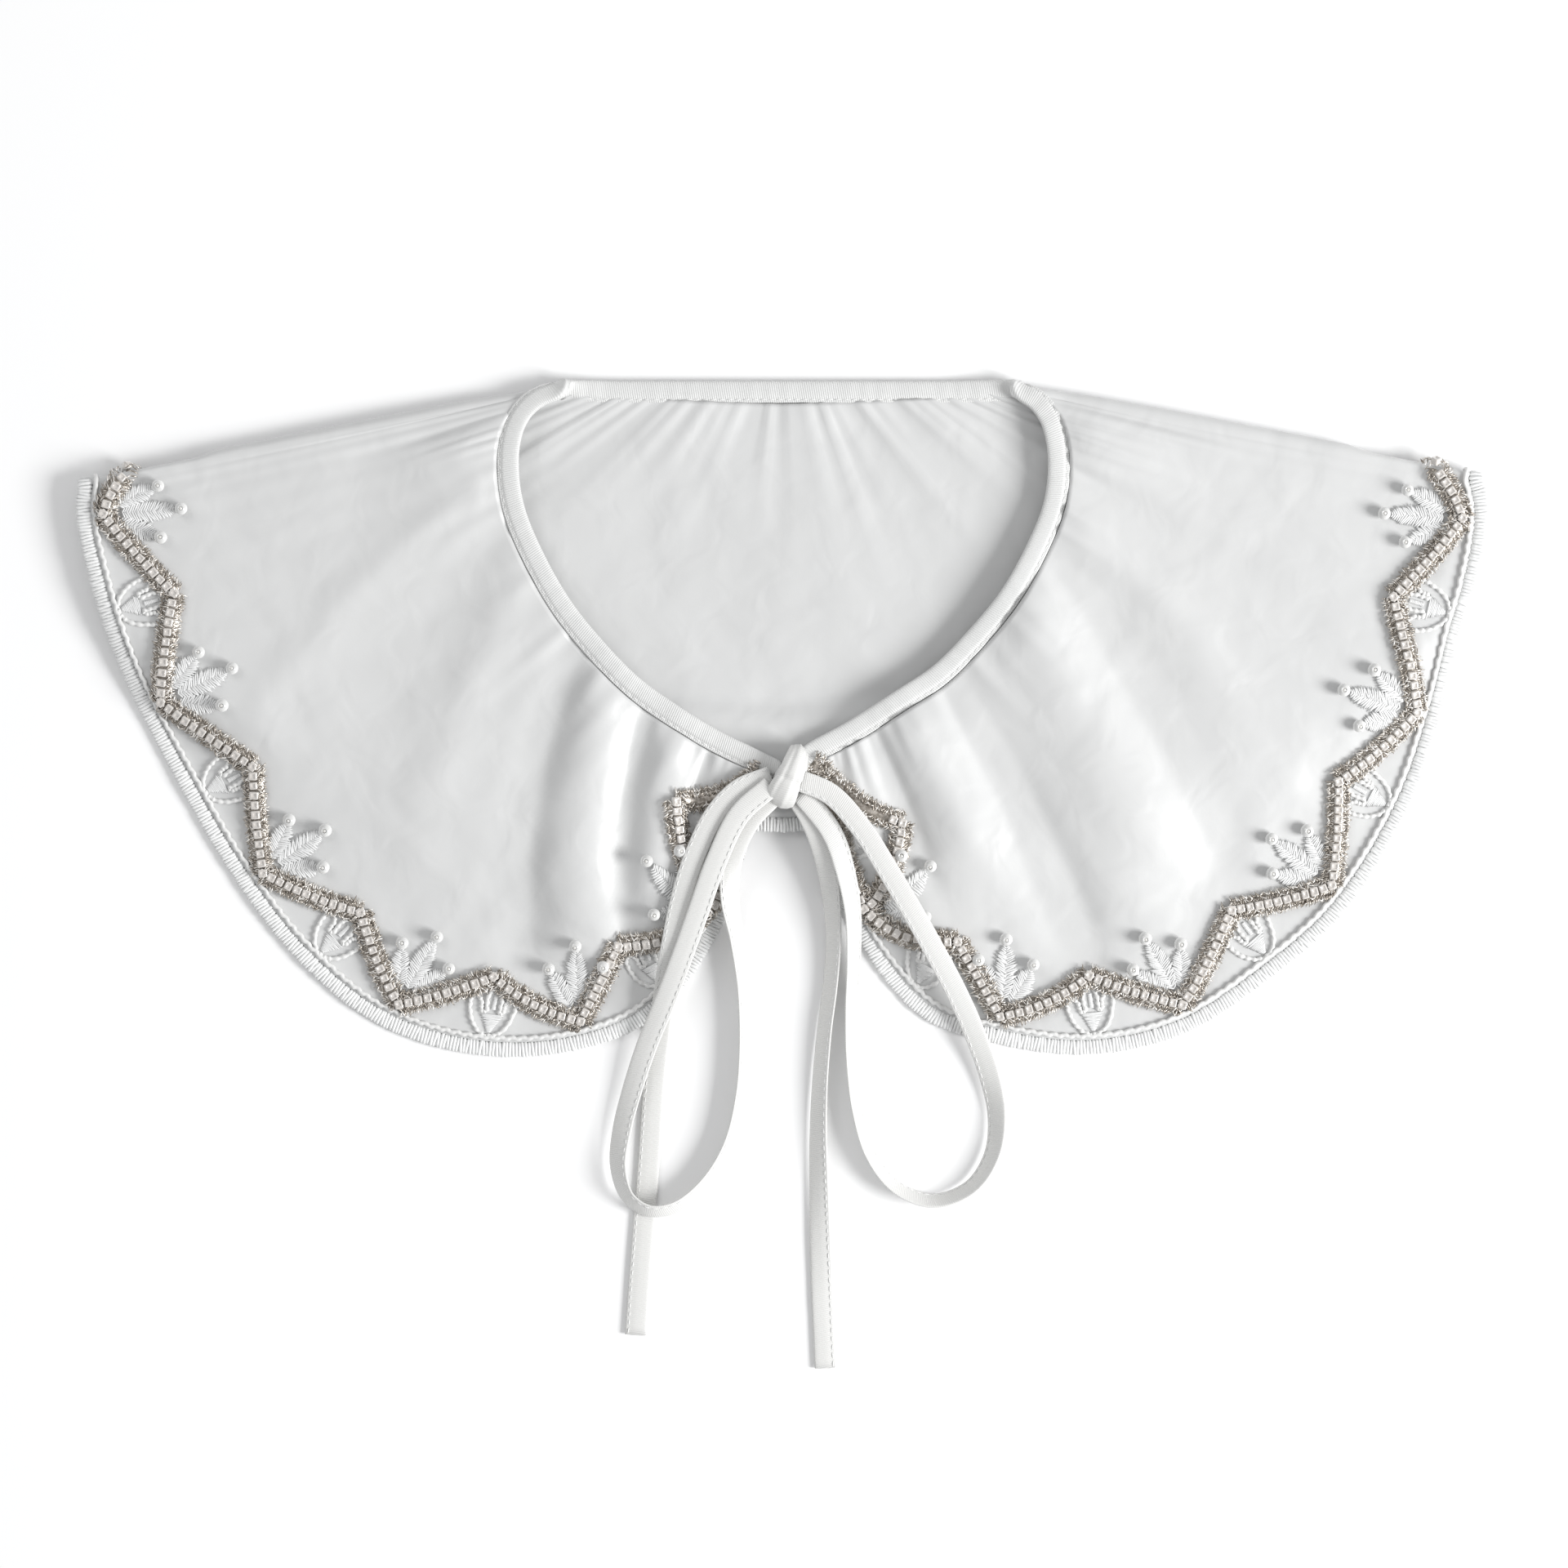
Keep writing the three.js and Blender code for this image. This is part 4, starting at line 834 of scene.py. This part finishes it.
def from_hem(length, inset, steps=8):
    """Places on the cloth at distances along the hem and in from it, square to it."""
    s, t = section_at(length), np.ones(len(length))
    along, _, normal = cloth_frame(calm_strip, s, np.full(len(s), 0.985))
    move = unit(np.cross(along, normal)) * (np.asarray(inset, float) / steps).reshape(-1, 1)
    for _ in range(steps):
        s, t = slide(s, t, move)
    return s, t


def seat(s, t, lift=0.0):
    """Points in mm on the cloth's right side, with travel along the strip and the way out of it."""
    along, _, normal = cloth_frame(calm_strip, s, np.minimum(t, 0.99))
    place = on_cloth(strip, s, np.minimum(t, NEAR_HEM)) + normal * np.reshape(lift, (-1, 1))
    return place, unit(along), normal


middle, _, hem_ups = seat(*from_hem(np.arange(0, HEM_LONG, 1.3), EDGING_WIDE / 2))
points, faces, uv = sweep(middle, hem_ups, band_section(EDGING_WIDE - 0.3, EDGING_THICK, 12, 0, 0))
overlock = thread_material("overlock_thread", (0.89, 0.895, 0.89), 0.6)
edging = new_piece("hem_edging_band", points, faces, overlock, uv)
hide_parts("hem_edging")


def loop_shape(name, wide, high, thick):
    """One wrapped loop of thread round the edge: an upright oval ring across X, in mm."""
    angles = np.linspace(0, math.tau, 12)
    rise = flattened(np.sin(angles), 0.6)
    path = np.stack([np.cos(angles) * wide / 2, 0 * angles, rise * high / 2], axis=1)
    outs = np.stack([np.cos(angles), 0 * angles, np.sin(angles)], axis=1)
    points, faces, _ = sweep(path, outs, ring_of(5) * (thick * 0.8, thick / 2))
    return smooth_mesh(name, points, faces[:-2])


loop_middles, loop_ups, loop_travel = evenly(middle, LOOP_PITCH, hem_ups, np.gradient(middle, axis=0))
across = unit(np.cross(unit(loop_travel), unit(loop_ups)))
repeat("overlock_loops", loop_shape("loop", EDGING_WIDE, EDGING_THICK + 0.35, 0.64), loop_middles, across,
       unit(loop_ups), overlock, size_jitter=0.07, turn_jitter=0.13, seed=3)

cord_at = np.arange(2, HEM_LONG - 2, 0.5)
wave = np.sin(cord_at * math.tau / CORD_TWIST) * 0.22
line, _, cord_ups = seat(*from_hem(cord_at, CORD_INSET + wave), 0.5 + CORD_THICK * 0.35)
plies = 0.5 * CORD_THICK * (1 + 0.1 * np.sin(cord_at * 2 * math.tau / CORD_TWIST))
points, faces, uv = sweep(line, cord_ups, plies[:, None, None] * ring_of(8))
cord_white = thread_material("corded_thread", (0.83, 0.83, 0.82), 0.5)
new_piece("hem_cord", points, faces, cord_white, uv)


# The trim: a woven metallic braid 6.3 mm wide sewn on in a zigzag, with a row of clear square-cut beads
# down its middle and crimped silver and champagne thread curling over both its edges.
FIRST_TIP, TIP_PITCH, FRONT_TIPS, BACK_STEPS = 35.2, 59.2, 6, 8
OUTER_INSET, INNER_INSET, CORNER_INNER = 7.8, 22.8, 24
START_SHARE = 0.1  # where the braid goes in under the binding
START_SECTION = FRONT_COUNT / 22  # and how far in from the corner: one step of the solid cape's front
RIBBON_PITCH, RIBBON_HALF, RIBBON_LOW, RIBBON_HIGH = 3.0, 2.9, 0.62, 1.35
BEAD_PITCH, BEAD_WIDE, BEAD_LIFT = 2.85, 2.45, 0.95
CURL_PITCH, CURL_ROWS = 0.62, ((1.65, 1.9), (2.85, 1.5))  # how far out and how high each row lies
CURL_LONG, CURL_THICK, CURL_BEND = 2.1, 0.42, 0.45
PALE_SHARE = 0.45  # of the crimped threads

tips = FIRST_TIP + TIP_PITCH * np.arange(FRONT_TIPS)
back_pitch = (HEM_LONG - 2 * tips[-1]) / BACK_STEPS
outer_tips = np.concatenate([tips, tips[-1] + back_pitch * np.arange(1, BACK_STEPS), HEM_LONG - tips[::-1]])
zigzag = [(CORNER_INNER, INNER_INSET)]
for k, length in enumerate(outer_tips):
    zigzag.append((length, OUTER_INSET))
    if k < len(outer_tips) - 1:
        zigzag.append(((length + outer_tips[k + 1]) / 2, INNER_INSET))
zigzag = np.array(zigzag + [(HEM_LONG - CORNER_INNER, INNER_INSET)])
tip_s, tip_t = from_hem(zigzag[:, 0], zigzag[:, 1])
tip_s = np.concatenate([[START_SECTION], tip_s, [len(calm_strip) - 1 - START_SECTION]])
tip_t = np.concatenate([[START_SHARE], tip_t, [START_SHARE]])
tip_length = np.interp(tip_s, np.arange(len(calm_strip)), hem_length)
last_tip = len(tip_s) - 1
legs = [(i, i + 1) for i in range(last_tip)] + [(0, 2), (last_tip - 2, last_tip)]


def trim_leg(first, last, pitch):
    """Places down the middle of one straight run of the braid, with its travel and the way out."""
    share = np.linspace(0, 1, 60)
    s = section_at(tip_length[first] + (tip_length[last] - tip_length[first]) * share)
    t = tip_t[first] + (tip_t[last] - tip_t[first]) * share
    length = lengths_along(seat(s, t)[0])
    count = max(int(round(length[-1] / pitch)), 2)
    at = np.linspace(0, length[-1], count + 1)
    s, t = np.interp(at, length, s), np.interp(at, length, t)
    points, _, normal = seat(s, t)
    return s, t, points, unit(np.gradient(points, axis=0)), normal


def beside(s, t, travel, normal, offset):
    """Places on the cloth a distance to the side of a run of the braid."""
    along, _, _ = cloth_frame(calm_strip, s, np.minimum(t, 0.99))
    forward = unit(along)
    side = unit(np.cross(travel, normal))
    ahead = np.sum(side * forward, axis=1) * offset
    inward = np.sum(side * np.cross(forward, normal), axis=1) * offset
    return walk(s, t, ahead, inward)


def metal_thread(name, dark, light, metallic):
    material, tree = new_material(name, {"Metallic": metallic, "Roughness": 0.32})
    noise = add_noise(tree, Scale=700)
    ramp = add_node(tree, "ShaderNodeValToRGB", {"Fac": noise})
    for stop, position, color in zip(ramp.color_ramp.elements, (0.35, 0.68), (dark, light)):
        stop.position = position
        stop.color = (*color, 1)
    set_shader(tree, {"Base Color": ramp.outputs["Color"]})
    add_bump(tree, noise, 0.5, 0.00015)
    return material


braid_dark = metal_thread("braid_dark", (0.31, 0.275, 0.235), (0.74, 0.69, 0.63), 0.7)
braid_light = metal_thread("braid_light", (0.72, 0.68, 0.63), (0.93, 0.91, 0.88), 0.5)
ribbon_points, ribbon_faces, beads, curls = [], [], [], []
for first, last in legs:
    s, t, _, travel, normal = trim_leg(first, last, RIBBON_PITCH)
    left, centre, right = (seat(*beside(s, t, travel, normal, offset))[0]
                           for offset in (-RIBBON_HALF, 0, RIBBON_HALF))
    _, _, out = seat(s, t)
    shoulder = RIBBON_HIGH - 0.2
    rings = np.stack([right + out * RIBBON_LOW, right + out * shoulder, centre + out * RIBBON_HIGH,
                      left + out * shoulder, left + out * RIBBON_LOW, centre + out * RIBBON_LOW], axis=1)
    ids = len(ribbon_points) + np.arange(len(rings) * 6).reshape(-1, 6)
    ribbon_points += [tuple(p) for p in rings.reshape(-1, 3) * MM]
    for here, there in zip(ids[:-1].tolist(), ids[1:].tolist()):
        ribbon_faces += [(here[k], here[k - 5], there[k - 5], there[k]) for k in range(6)]
    ribbon_faces += [tuple(ids[0, ::-1].tolist()), tuple(ids[-1].tolist())]

    s, t, middle, travel, normal = trim_leg(first, last, BEAD_PITCH)
    from_knot = np.linspace(0, 1, len(s)) if first == 0 else np.linspace(1, 0, len(s))
    hidden = -1
    if first == 0 or last == last_tip:  # the steep runs at the bow carry beads on their last part only
        hidden = 0.9 if last - first == 1 else 0.5
    seen = from_knot > hidden
    beads.append(((middle + normal * (RIBBON_HIGH + BEAD_LIFT))[seen], travel[seen], normal[seen]))

    s, t, _, travel, normal = trim_leg(first, last, CURL_PITCH)
    for hand in (-1, 1):
        for offset, lift in CURL_ROWS:
            offsets = hand * (offset + draws.uniform(-0.25, 0.25, len(s)))
            place, _, up = seat(*beside(s, t, travel, normal, offsets))
            lifts = lift + draws.uniform(-0.2, 0.25, (len(s), 1))
            curls.append((place + up * lifts, travel, up, np.full((len(s), 1), hand)))

ribbon = new_piece("braid_ribbon", ribbon_points, ribbon_faces, braid_dark)
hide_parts("beaded_trim")


def smooth_shape(name, shape):
    """A smooth mesh of a bmesh."""
    mesh = bpy.data.meshes.new(name)
    shape.to_mesh(mesh)
    shape.free()
    return smoothed(mesh)


def cube_bead(name, wide):
    """A square-cut bead, its corners worn round, with a shallow dished top."""
    shape = bmesh.new()
    bmesh.ops.create_cube(shape, size=wide)
    bmesh.ops.bevel(shape, geom=shape.edges[:], offset=wide * 0.15, segments=2, affect="EDGES", profile=0.6)
    top = max(shape.faces, key=lambda face: face.calc_center_median().z + face.calc_area())
    bmesh.ops.inset_individual(shape, faces=[top], thickness=wide * 0.1, depth=-wide * 0.02)
    bmesh.ops.inset_individual(shape, faces=[top], thickness=wide * 0.05, depth=-wide * 0.1)
    return smooth_shape(name, shape)


def bead_material(name, core, rim):
    """Glass or pearl under a wet gloss: one tint in the middle, and towards its edges a rim tint that is
    painted light: a painted reflection where it is lighter, painted shade where it is darker.
    """
    material, tree = new_material(name, {"Roughness": 0.1, "Coat Weight": 1, "Coat Roughness": 0.04})
    painted_rim_share = add_node(tree, "ShaderNodeLayerWeight", {"Blend": 0.42}).outputs["Facing"]
    mixed_color(tree, painted_rim_share, core, rim)
    add_bump(tree, add_noise(tree, Scale=1400), 0.35, 0.00015)
    return material


places, travel, up = (np.vstack(kind) for kind in zip(*beads))
# The beads are painted lighter towards their rims: a painted reflection.
clear_bead = bead_material("clear_bead", (0.6, 0.565, 0.53), (0.95, 0.94, 0.92))
count = len(places)
sizes = np.stack([draws.uniform(0.82, 1.0, count), draws.uniform(0.88, 1.08, count),
                  np.full(count, 0.82)], axis=1)
repeat("cube_beads", cube_bead("cube_bead", BEAD_WIDE * MM), places, travel, up, clear_bead, sizes,
       turn_jitter=0.1, seed=5)

places, travel, up, hands = (np.vstack(kind) for kind in zip(*curls))
count = len(places)
lean = draws.uniform(0.25, 1.1, (count, 1))
turned_back = np.sign(draws.uniform(-0.4, 1, (count, 1)))
rise = draws.uniform(-0.5, 0.3, (count, 1))
ahead = unit(unit(np.cross(travel, up)) * hands + travel * lean * turned_back + up * rise)
pale = draws.uniform(0, 1, count) < PALE_SHARE
for name, chosen, material, seed in (
    ("braid_curls_dark", ~pale, braid_dark, 11),
    ("braid_curls_light", pale, braid_light, 12),
):
    curl = thread_shape("curl", CURL_LONG, CURL_THICK, CURL_BEND, 4, 3)
    repeat(name, curl, places[chosen], ahead[chosen], up[chosen], material, size_jitter=0.25,
           turn_jitter=0.5, seed=seed)


# The crown motifs: inward of every outer tip of the braid on the two fronts, three padded petals of white
# satin stitch fan out of the V, each worked in slanting threads that meet along its middle.
PETAL_SPREAD, PETAL_LEAN = 29, 42  # degrees, the second turns the fan next to the bow away from it
PETALS = (  # turn, starts, long, wide: in mm from the tip of the braid
    (-1, 4.6, 11.2, 6.4),
    (0, 4.8, 15.6, 6.8),
    (1, 4.6, 11.2, 6.4),
)
THREAD_PITCH, THREAD_THICK, THREAD_SLANT = 0.66, 0.6, math.radians(28)
SEAT_LIFT = 0.42  # from the middle of the cloth to its face

front_tips = np.concatenate([tips, HEM_LONG - tips])
leans = np.concatenate([PETAL_LEAN * (tips == tips[0]), -PETAL_LEAN * (tips == tips[0])])


def from_place(length, inset, points, steps):
    """Places on the cloth from one inside the hem: each point is (ahead along the hem, inward), in mm."""
    s, t = from_hem(np.full(len(points), length), inset)
    return walk(s, t, points[:, 0], points[:, 1], steps)


def round_shape(name, wide, high, sides, rings):
    shape = bmesh.new()
    bmesh.ops.create_uvsphere(shape, u_segments=sides, v_segments=rings, radius=0.5,
                              matrix=Matrix.Diagonal((wide, wide, high, 1)))
    return smooth_shape(name, shape)


def stitched(rows):
    """Places and directions for the node group, from rows counted from an outer tip of the braid.

    A row is (length, ahead, inward, aim ahead, aim inward, lift, and the three sizes).
    """
    parts = []
    for length in np.unique([row[0] for row in rows]):
        mine = np.array([row for row in rows if row[0] == length])
        lift = SEAT_LIFT + mine[:, 5]
        place, _, up = seat(*from_place(length, OUTER_INSET, mine[:, 1:3], 8), lift)
        ahead, _, _ = seat(*from_place(length, OUTER_INSET, mine[:, 1:3] + mine[:, 3:5] * 0.5, 8), lift)
        parts.append((place, unit(ahead - place), up, mine[:, 6:9]))
    return [np.vstack(kind) for kind in zip(*parts)]


def fan_way(turn, lean):
    """The way that one petal of a fan points: ahead along the hem and inward."""
    angle = math.radians(turn * PETAL_SPREAD + lean)
    return np.array([math.sin(angle), math.cos(angle)])


def pad_profile(share):
    """How wide a petal is along its length, as a share of its widest."""
    return np.clip(np.sin(math.pi * np.clip(share, 0, 1) ** 0.8), 0, 1) ** 0.55


pads, threads = [], []
for length, lean in zip(front_tips, leans):
    for turn, start, long, wide in PETALS:
        out = fan_way(turn, lean)
        side = np.array([out[1], -out[0]])
        for share in (0.2, 0.4, 0.6, 0.8):
            middle = out * (start + long * share)
            pads.append((length, *middle, *out, 0.1, 0.36 * long, pad_profile(share) * wide * 0.86, 1))
        for share in np.arange(0.04, 1.0, THREAD_PITCH / long):
            half = pad_profile(share) * wide / 2
            for hand in (-1, 1):
                aim = side * hand * math.cos(THREAD_SLANT) + out * math.sin(THREAD_SLANT)
                middle = out * (start + long * share) + aim * half * 0.5
                threads.append((length, *middle, *aim, 0.55, half / math.cos(THREAD_SLANT) + 0.5, 1, 1))
petal_white = thread_material("petal_thread", (0.86, 0.863, 0.86), 0.4)
places, aims, ups, sizes = stitched(pads)
repeat("petal_pads", round_shape("petal_pad", 1 * MM, 1.05 * MM, 12, 6), places, aims, ups, petal_white,
       sizes)
places, aims, ups, sizes = stitched(threads)
repeat("petal_threads", thread_shape("petal_stitch", 1, THREAD_THICK, 0.12, 5, 4), places, aims, ups,
       petal_white, sizes, size_jitter=0.16, turn_jitter=0.2, seed=21)


# A white pearl at the end of every petal, bored and sewn down with its hole upward, where a tiny clear
# bead stops the thread.
PEARL, PEARL_SEAT = 3.8, 0.3
STOP_WIDE, STOP_HIGH, STOP_AT = 1.2, 0.9, 0.4  # the last is a share of the pearl, up from its middle
PEARLS = ((-1, 17.8), (0, 22.6), (1, 17.8))  # turn, and how far it lies from the tip of the braid


def pearl_shape(name, wide):
    """A bored pearl: a ring with a round outside and a small funnel down its middle."""
    angles = np.linspace(-math.pi / 2 + 0.22, math.pi / 2 - 0.3, 13)
    profile = [(math.cos(a) * wide / 2, math.sin(a) * wide / 2) for a in angles]
    profile += [(wide * 0.17, wide * 0.42), (wide * 0.13, wide * 0.3)]
    turns = 22
    points = [(r * x, r * y, z) for r, z in profile for x, y in ring_of(turns)]
    rows = [[i * turns + k for k in range(turns)] for i in range(len(profile))]
    faces = [(low[k - 1], low[k], high[k], high[k - 1]) for low, high in zip(rows, rows[1:])
             for k in [*range(1, turns), 0]]
    faces += [tuple(reversed(rows[0])), tuple(rows[-1])]
    return smooth_mesh(name, points, faces)


pearl_rows = [(length, *(fan_way(turn, lean) * far), 0, 1, PEARL_SEAT + PEARL / 2, 1, 1, 1)
              for length, lean in zip(front_tips, leans) for turn, far in PEARLS]
places, aims, ups, sizes = stitched(pearl_rows)
# The pearls are painted lighter towards their rims: a painted reflection.
pearl_white = bead_material("pearl_white", (0.62, 0.62, 0.61), (0.93, 0.93, 0.92))
pearls = repeat("pearls", pearl_shape("pearl", PEARL * MM), places, aims, ups, pearl_white, sizes,
                size_jitter=0.04, turn_jitter=1.5, seed=31)
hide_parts(*[f"pearl_{side}_{k}{letter}" for side in ("left", "right") for k in range(1, 7)
                      for letter in "abc"])
# The stop beads are painted dark towards their rims: painted shade down in the pearl's hole.
stop_bead = bead_material("stop_bead", (0.7, 0.69, 0.66), (0.2, 0.19, 0.18))
repeat("pearl_stops", round_shape("stop", STOP_WIDE * MM, STOP_HIGH * MM, 12, 8),
       places + ups * PEARL * STOP_AT, aims, ups, stop_bead, sizes, seed=32)


# The tulips: between the braid and the hem, below every inner tip of the zigzag, a three-lobed flower is
# drawn in couched white cord, with a shield and ladders of satin stitch inside it.
TULIP = (  # across, up, in mm from its point on the corded line
    (0.2, 0.0), (-1.6, 0.5), (-3.2, 1.6), (-5.0, 4.1), (-6.2, 7.4), (-7.0, 10.4), (-7.3, 12.4),
    (-6.5, 13.7), (-5.2, 13.7), (-4.1, 12.6), (-3.6, 11.0), (-3.4, 9.4), (-2.6, 8.6), (-2.5, 10.4),
    (-2.6, 13.0), (-2.2, 15.6), (-0.9, 17.4), (0.6, 16.9), (1.7, 14.8), (1.9, 12.2), (1.6, 9.4),
    (2.4, 8.5), (3.2, 9.8), (3.4, 11.6), (4.2, 13.2), (5.5, 13.8), (6.7, 12.9), (6.9, 10.8),
    (6.4, 8.0), (5.6, 5.4), (4.2, 2.9), (2.5, 1.0), (0.6, 0.0),
)
TULIP_LINES = (  # stitched areas: across and up of their middle line, then half width, at both ends
    (0.0, 1.6, 0.7, -0.2, 7.9, 3.5),
    (-0.4, 10.0, 0.7, -0.5, 15.0, 0.6),
)
TULIP_INSET, TULIP_SIZE, TULIP_CORD = 5.6, (1.0, 0.79), 0.62
TULIP_STEPS, LADDER_PITCH, LADDER_LIFT = 190, 0.44, 0.24
tulip_spots = [((a + b) / 2, 1.0) for a, b in zip(tips[:-1], tips[1:])] + [(CORNER_INNER - 5, 0.8)]
tulip_spots += [(HEM_LONG - length, size) for length, size in tulip_spots]


def on_tulip(length, size, points, lift=0.0):
    """Seats points of a tulip drawn in mm on the cloth."""
    points = np.asarray(points, float) * TULIP_SIZE * size
    return seat(*from_place(length, TULIP_INSET, points, 6), lift)


cord_points, cord_faces, ladders = [], [], []
marks = np.arange(TULIP_STEPS)
drawn = centripetal([(x, y, 0) for x, y in TULIP], np.linspace(0, len(TULIP) - 1, TULIP_STEPS))[:, :2]
drawn = drawn + 0.1 * np.sin(marks[:, None] * np.array([1.05, 0.83]))
beat = TULIP_CORD * (1 + 0.24 * np.sin(marks * 1.3))
steps = []
for x0, y0, half0, x1, y1, half1 in TULIP_LINES:
    share = np.arange(0, 1.001, LADDER_PITCH / math.hypot(x1 - x0, y1 - y0))[:, None]
    steps.append((1 - share) * (x0, y0, half0) + share * (x1, y1, half1))
x, y, half = np.vstack(steps).T
for length, size in tulip_spots:
    line, _, up = on_tulip(length, size, drawn, SEAT_LIFT + TULIP_CORD * 0.6)
    points, faces, _ = sweep(line, up, beat[:, None, None] * ring_of(8))
    start = len(cord_points)
    cord_points += [tuple(p) for p in points]
    cord_faces += [tuple(start + k for k in face) for face in faces]
    left, right = (on_tulip(length, size, np.stack([x + hand * half, y], 1), SEAT_LIFT + LADDER_LIFT)[0]
                   for hand in (-1, 1))
    _, _, up = on_tulip(length, size, np.stack([x, y], 1))
    scales = np.ones((len(left), 3))
    scales[:, 0] = np.linalg.norm(right - left, axis=1)
    ladders.append(((left + right) / 2, unit(right - left), up, scales))
places, aims, ups, sizes = (np.vstack(kind) for kind in zip(*ladders))
new_piece("tulip_cords", cord_points, cord_faces, cord_white)
repeat("tulip_threads", thread_shape("tulip_stitch", 1, LADDER_PITCH, 0.16, 5, 6), places, aims, ups,
       petal_white, sizes, size_jitter=0.06, turn_jitter=0.06, seed=41)


# The knot of the bow: one tie wrapped tightly round the crossing of the others, leaning to the right, its
# satin drawn into a few lengthwise creases and spread wider where it comes out below.
KNOT_LINE = (  # x, y, z, wide: over the knot from its upper end to its lower one, in mm
    (4.4, -9, 7.2, 5),
    (4.4, -9.8, 10.2, 6),
    (3.7, -12.2, 12.2, 6.9),
    (2.7, -14.9, 13, 7.4),
    (1.5, -17.7, 13.1, 7.9),
    (0.2, -20.5, 12.5, 8.7),
    (-0.7, -22.7, 10.9, 9),
    (-1.1, -23.7, 8.6, 8.6),
    (-1, -23.5, 6.6, 7.6),
)
KNOT_RINGS, KNOT_SIDES = 90, 56
KNOT_LEAN = (0.91, -0.415, 0)  # across the strip
TUCK_AT = 3.9  # where the lower turn of the strip goes in under the upper one
CORE_HALF, CORE_MIDDLE, CORE_TURN = (4.3, 7.0, 3.0), (2.0, -16.6, 9.6), math.radians(-27)
rows = np.array(KNOT_LINE)
at = np.linspace(0, len(rows) - 1, KNOT_RINGS)
line = centripetal(rows[:, :3], at)
wide = np.interp(at, np.arange(len(rows)), rows[:, 3])
travel = unit(np.gradient(line, axis=0))
ups = np.cross(unit(np.array(KNOT_LEAN)), travel)
ups = ups * np.sign(ups[:, 2:] + 1e-9)  # upward all along
angles = np.linspace(0, math.tau, KNOT_SIDES, endpoint=False)
across = flattened(np.cos(angles), 0.8)[None]
high = flattened(np.sin(angles), 0.6)[None]
creases = 0.14 * np.cos(across * 6 + at[:, None] * 0.3) + 0.07 * np.cos(across * 13 - at[:, None] * 0.5)
crown = 1.1 * (1 - across**2)
tuck = bell((at - TUCK_AT) / 0.3)[:, None]
section = np.stack([across * wide[:, None] / 2 * (1 - 0.07 * tuck),
                    high * 0.6 + (high > 0) * creases + crown * (1 - 0.45 * tuck)], axis=2)
points, faces, uv = sweep(line, ups, section)
knot = new_piece("knot_wrap", points, faces, strip_satin, uv)
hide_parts("bow_knot")
core = bmesh.new()
bmesh.ops.create_uvsphere(core, u_segments=40, v_segments=24, radius=1)
turn = Matrix.Rotation(CORE_TURN, 3, "Z") @ Matrix.Diagonal(CORE_HALF)
for vertex in core.verts:
    fold = 1 + 0.06 * math.sin(vertex.co.x * 9 + vertex.co.y * 3)
    vertex.co = (turn @ vertex.co * fold + Vector(CORE_MIDDLE)) * MM
knot_core = smooth_shape("knot_core", core)
knot_core.materials.append(binding_satin)
put_in(knot_core)


# The table and the light: a plain white matt sheet under the collar, in a white room, with a broad soft
# window low on the right and a weak fill from behind on the left.
FLOOR_HALF, FLOOR_DOWN = 3, 0.0003
corners = [(x * FLOOR_HALF, y * FLOOR_HALF, 0) for x, y in ((-1, -1), (1, -1), (1, 1), (-1, 1))]
floor_mesh = bpy.data.meshes.new("floor")
floor_mesh.from_pydata(corners, [], [(0, 1, 2, 3)])
floor = bpy.data.objects.new("floor", floor_mesh)
floor.location.z = -FLOOR_DOWN
scene.collection.objects.link(floor)
paper, _ = new_material("paper", {"Base Color": (0.93, 0.93, 0.93, 1), "Roughness": 0.9,
                                  "Specular IOR Level": 0.1})
floor_mesh.materials.append(paper)

world = bpy.data.worlds.new("studio")
world.use_nodes = True
fill(world.node_tree, world.node_tree.nodes["Background"], {"Color": (0.985, 0.99, 1, 1), "Strength": 0.5})
scene.world = world
LIT_PLACE = (0, -0.02, 0)  # what both lights point at
for name, place, size, power in (
    ("window", (1.6, -0.45, 1.0), 0.8, 44),
    ("fill", (-1.2, 1.0, 1.6), 1.2, 9),
):
    light_data = bpy.data.lights.new(name, "AREA")
    light_data.size = size
    light_data.energy = power
    light = bpy.data.objects.new(name, light_data)
    light.location = place
    scene.collection.objects.link(light)
    towards = np.array(place) - LIT_PLACE
    light.rotation_euler = (math.acos(towards[2] / np.linalg.norm(towards)), 0,
                            math.atan2(towards[1], towards[0]) + math.pi / 2)
scene.view_settings.view_transform = "Standard"
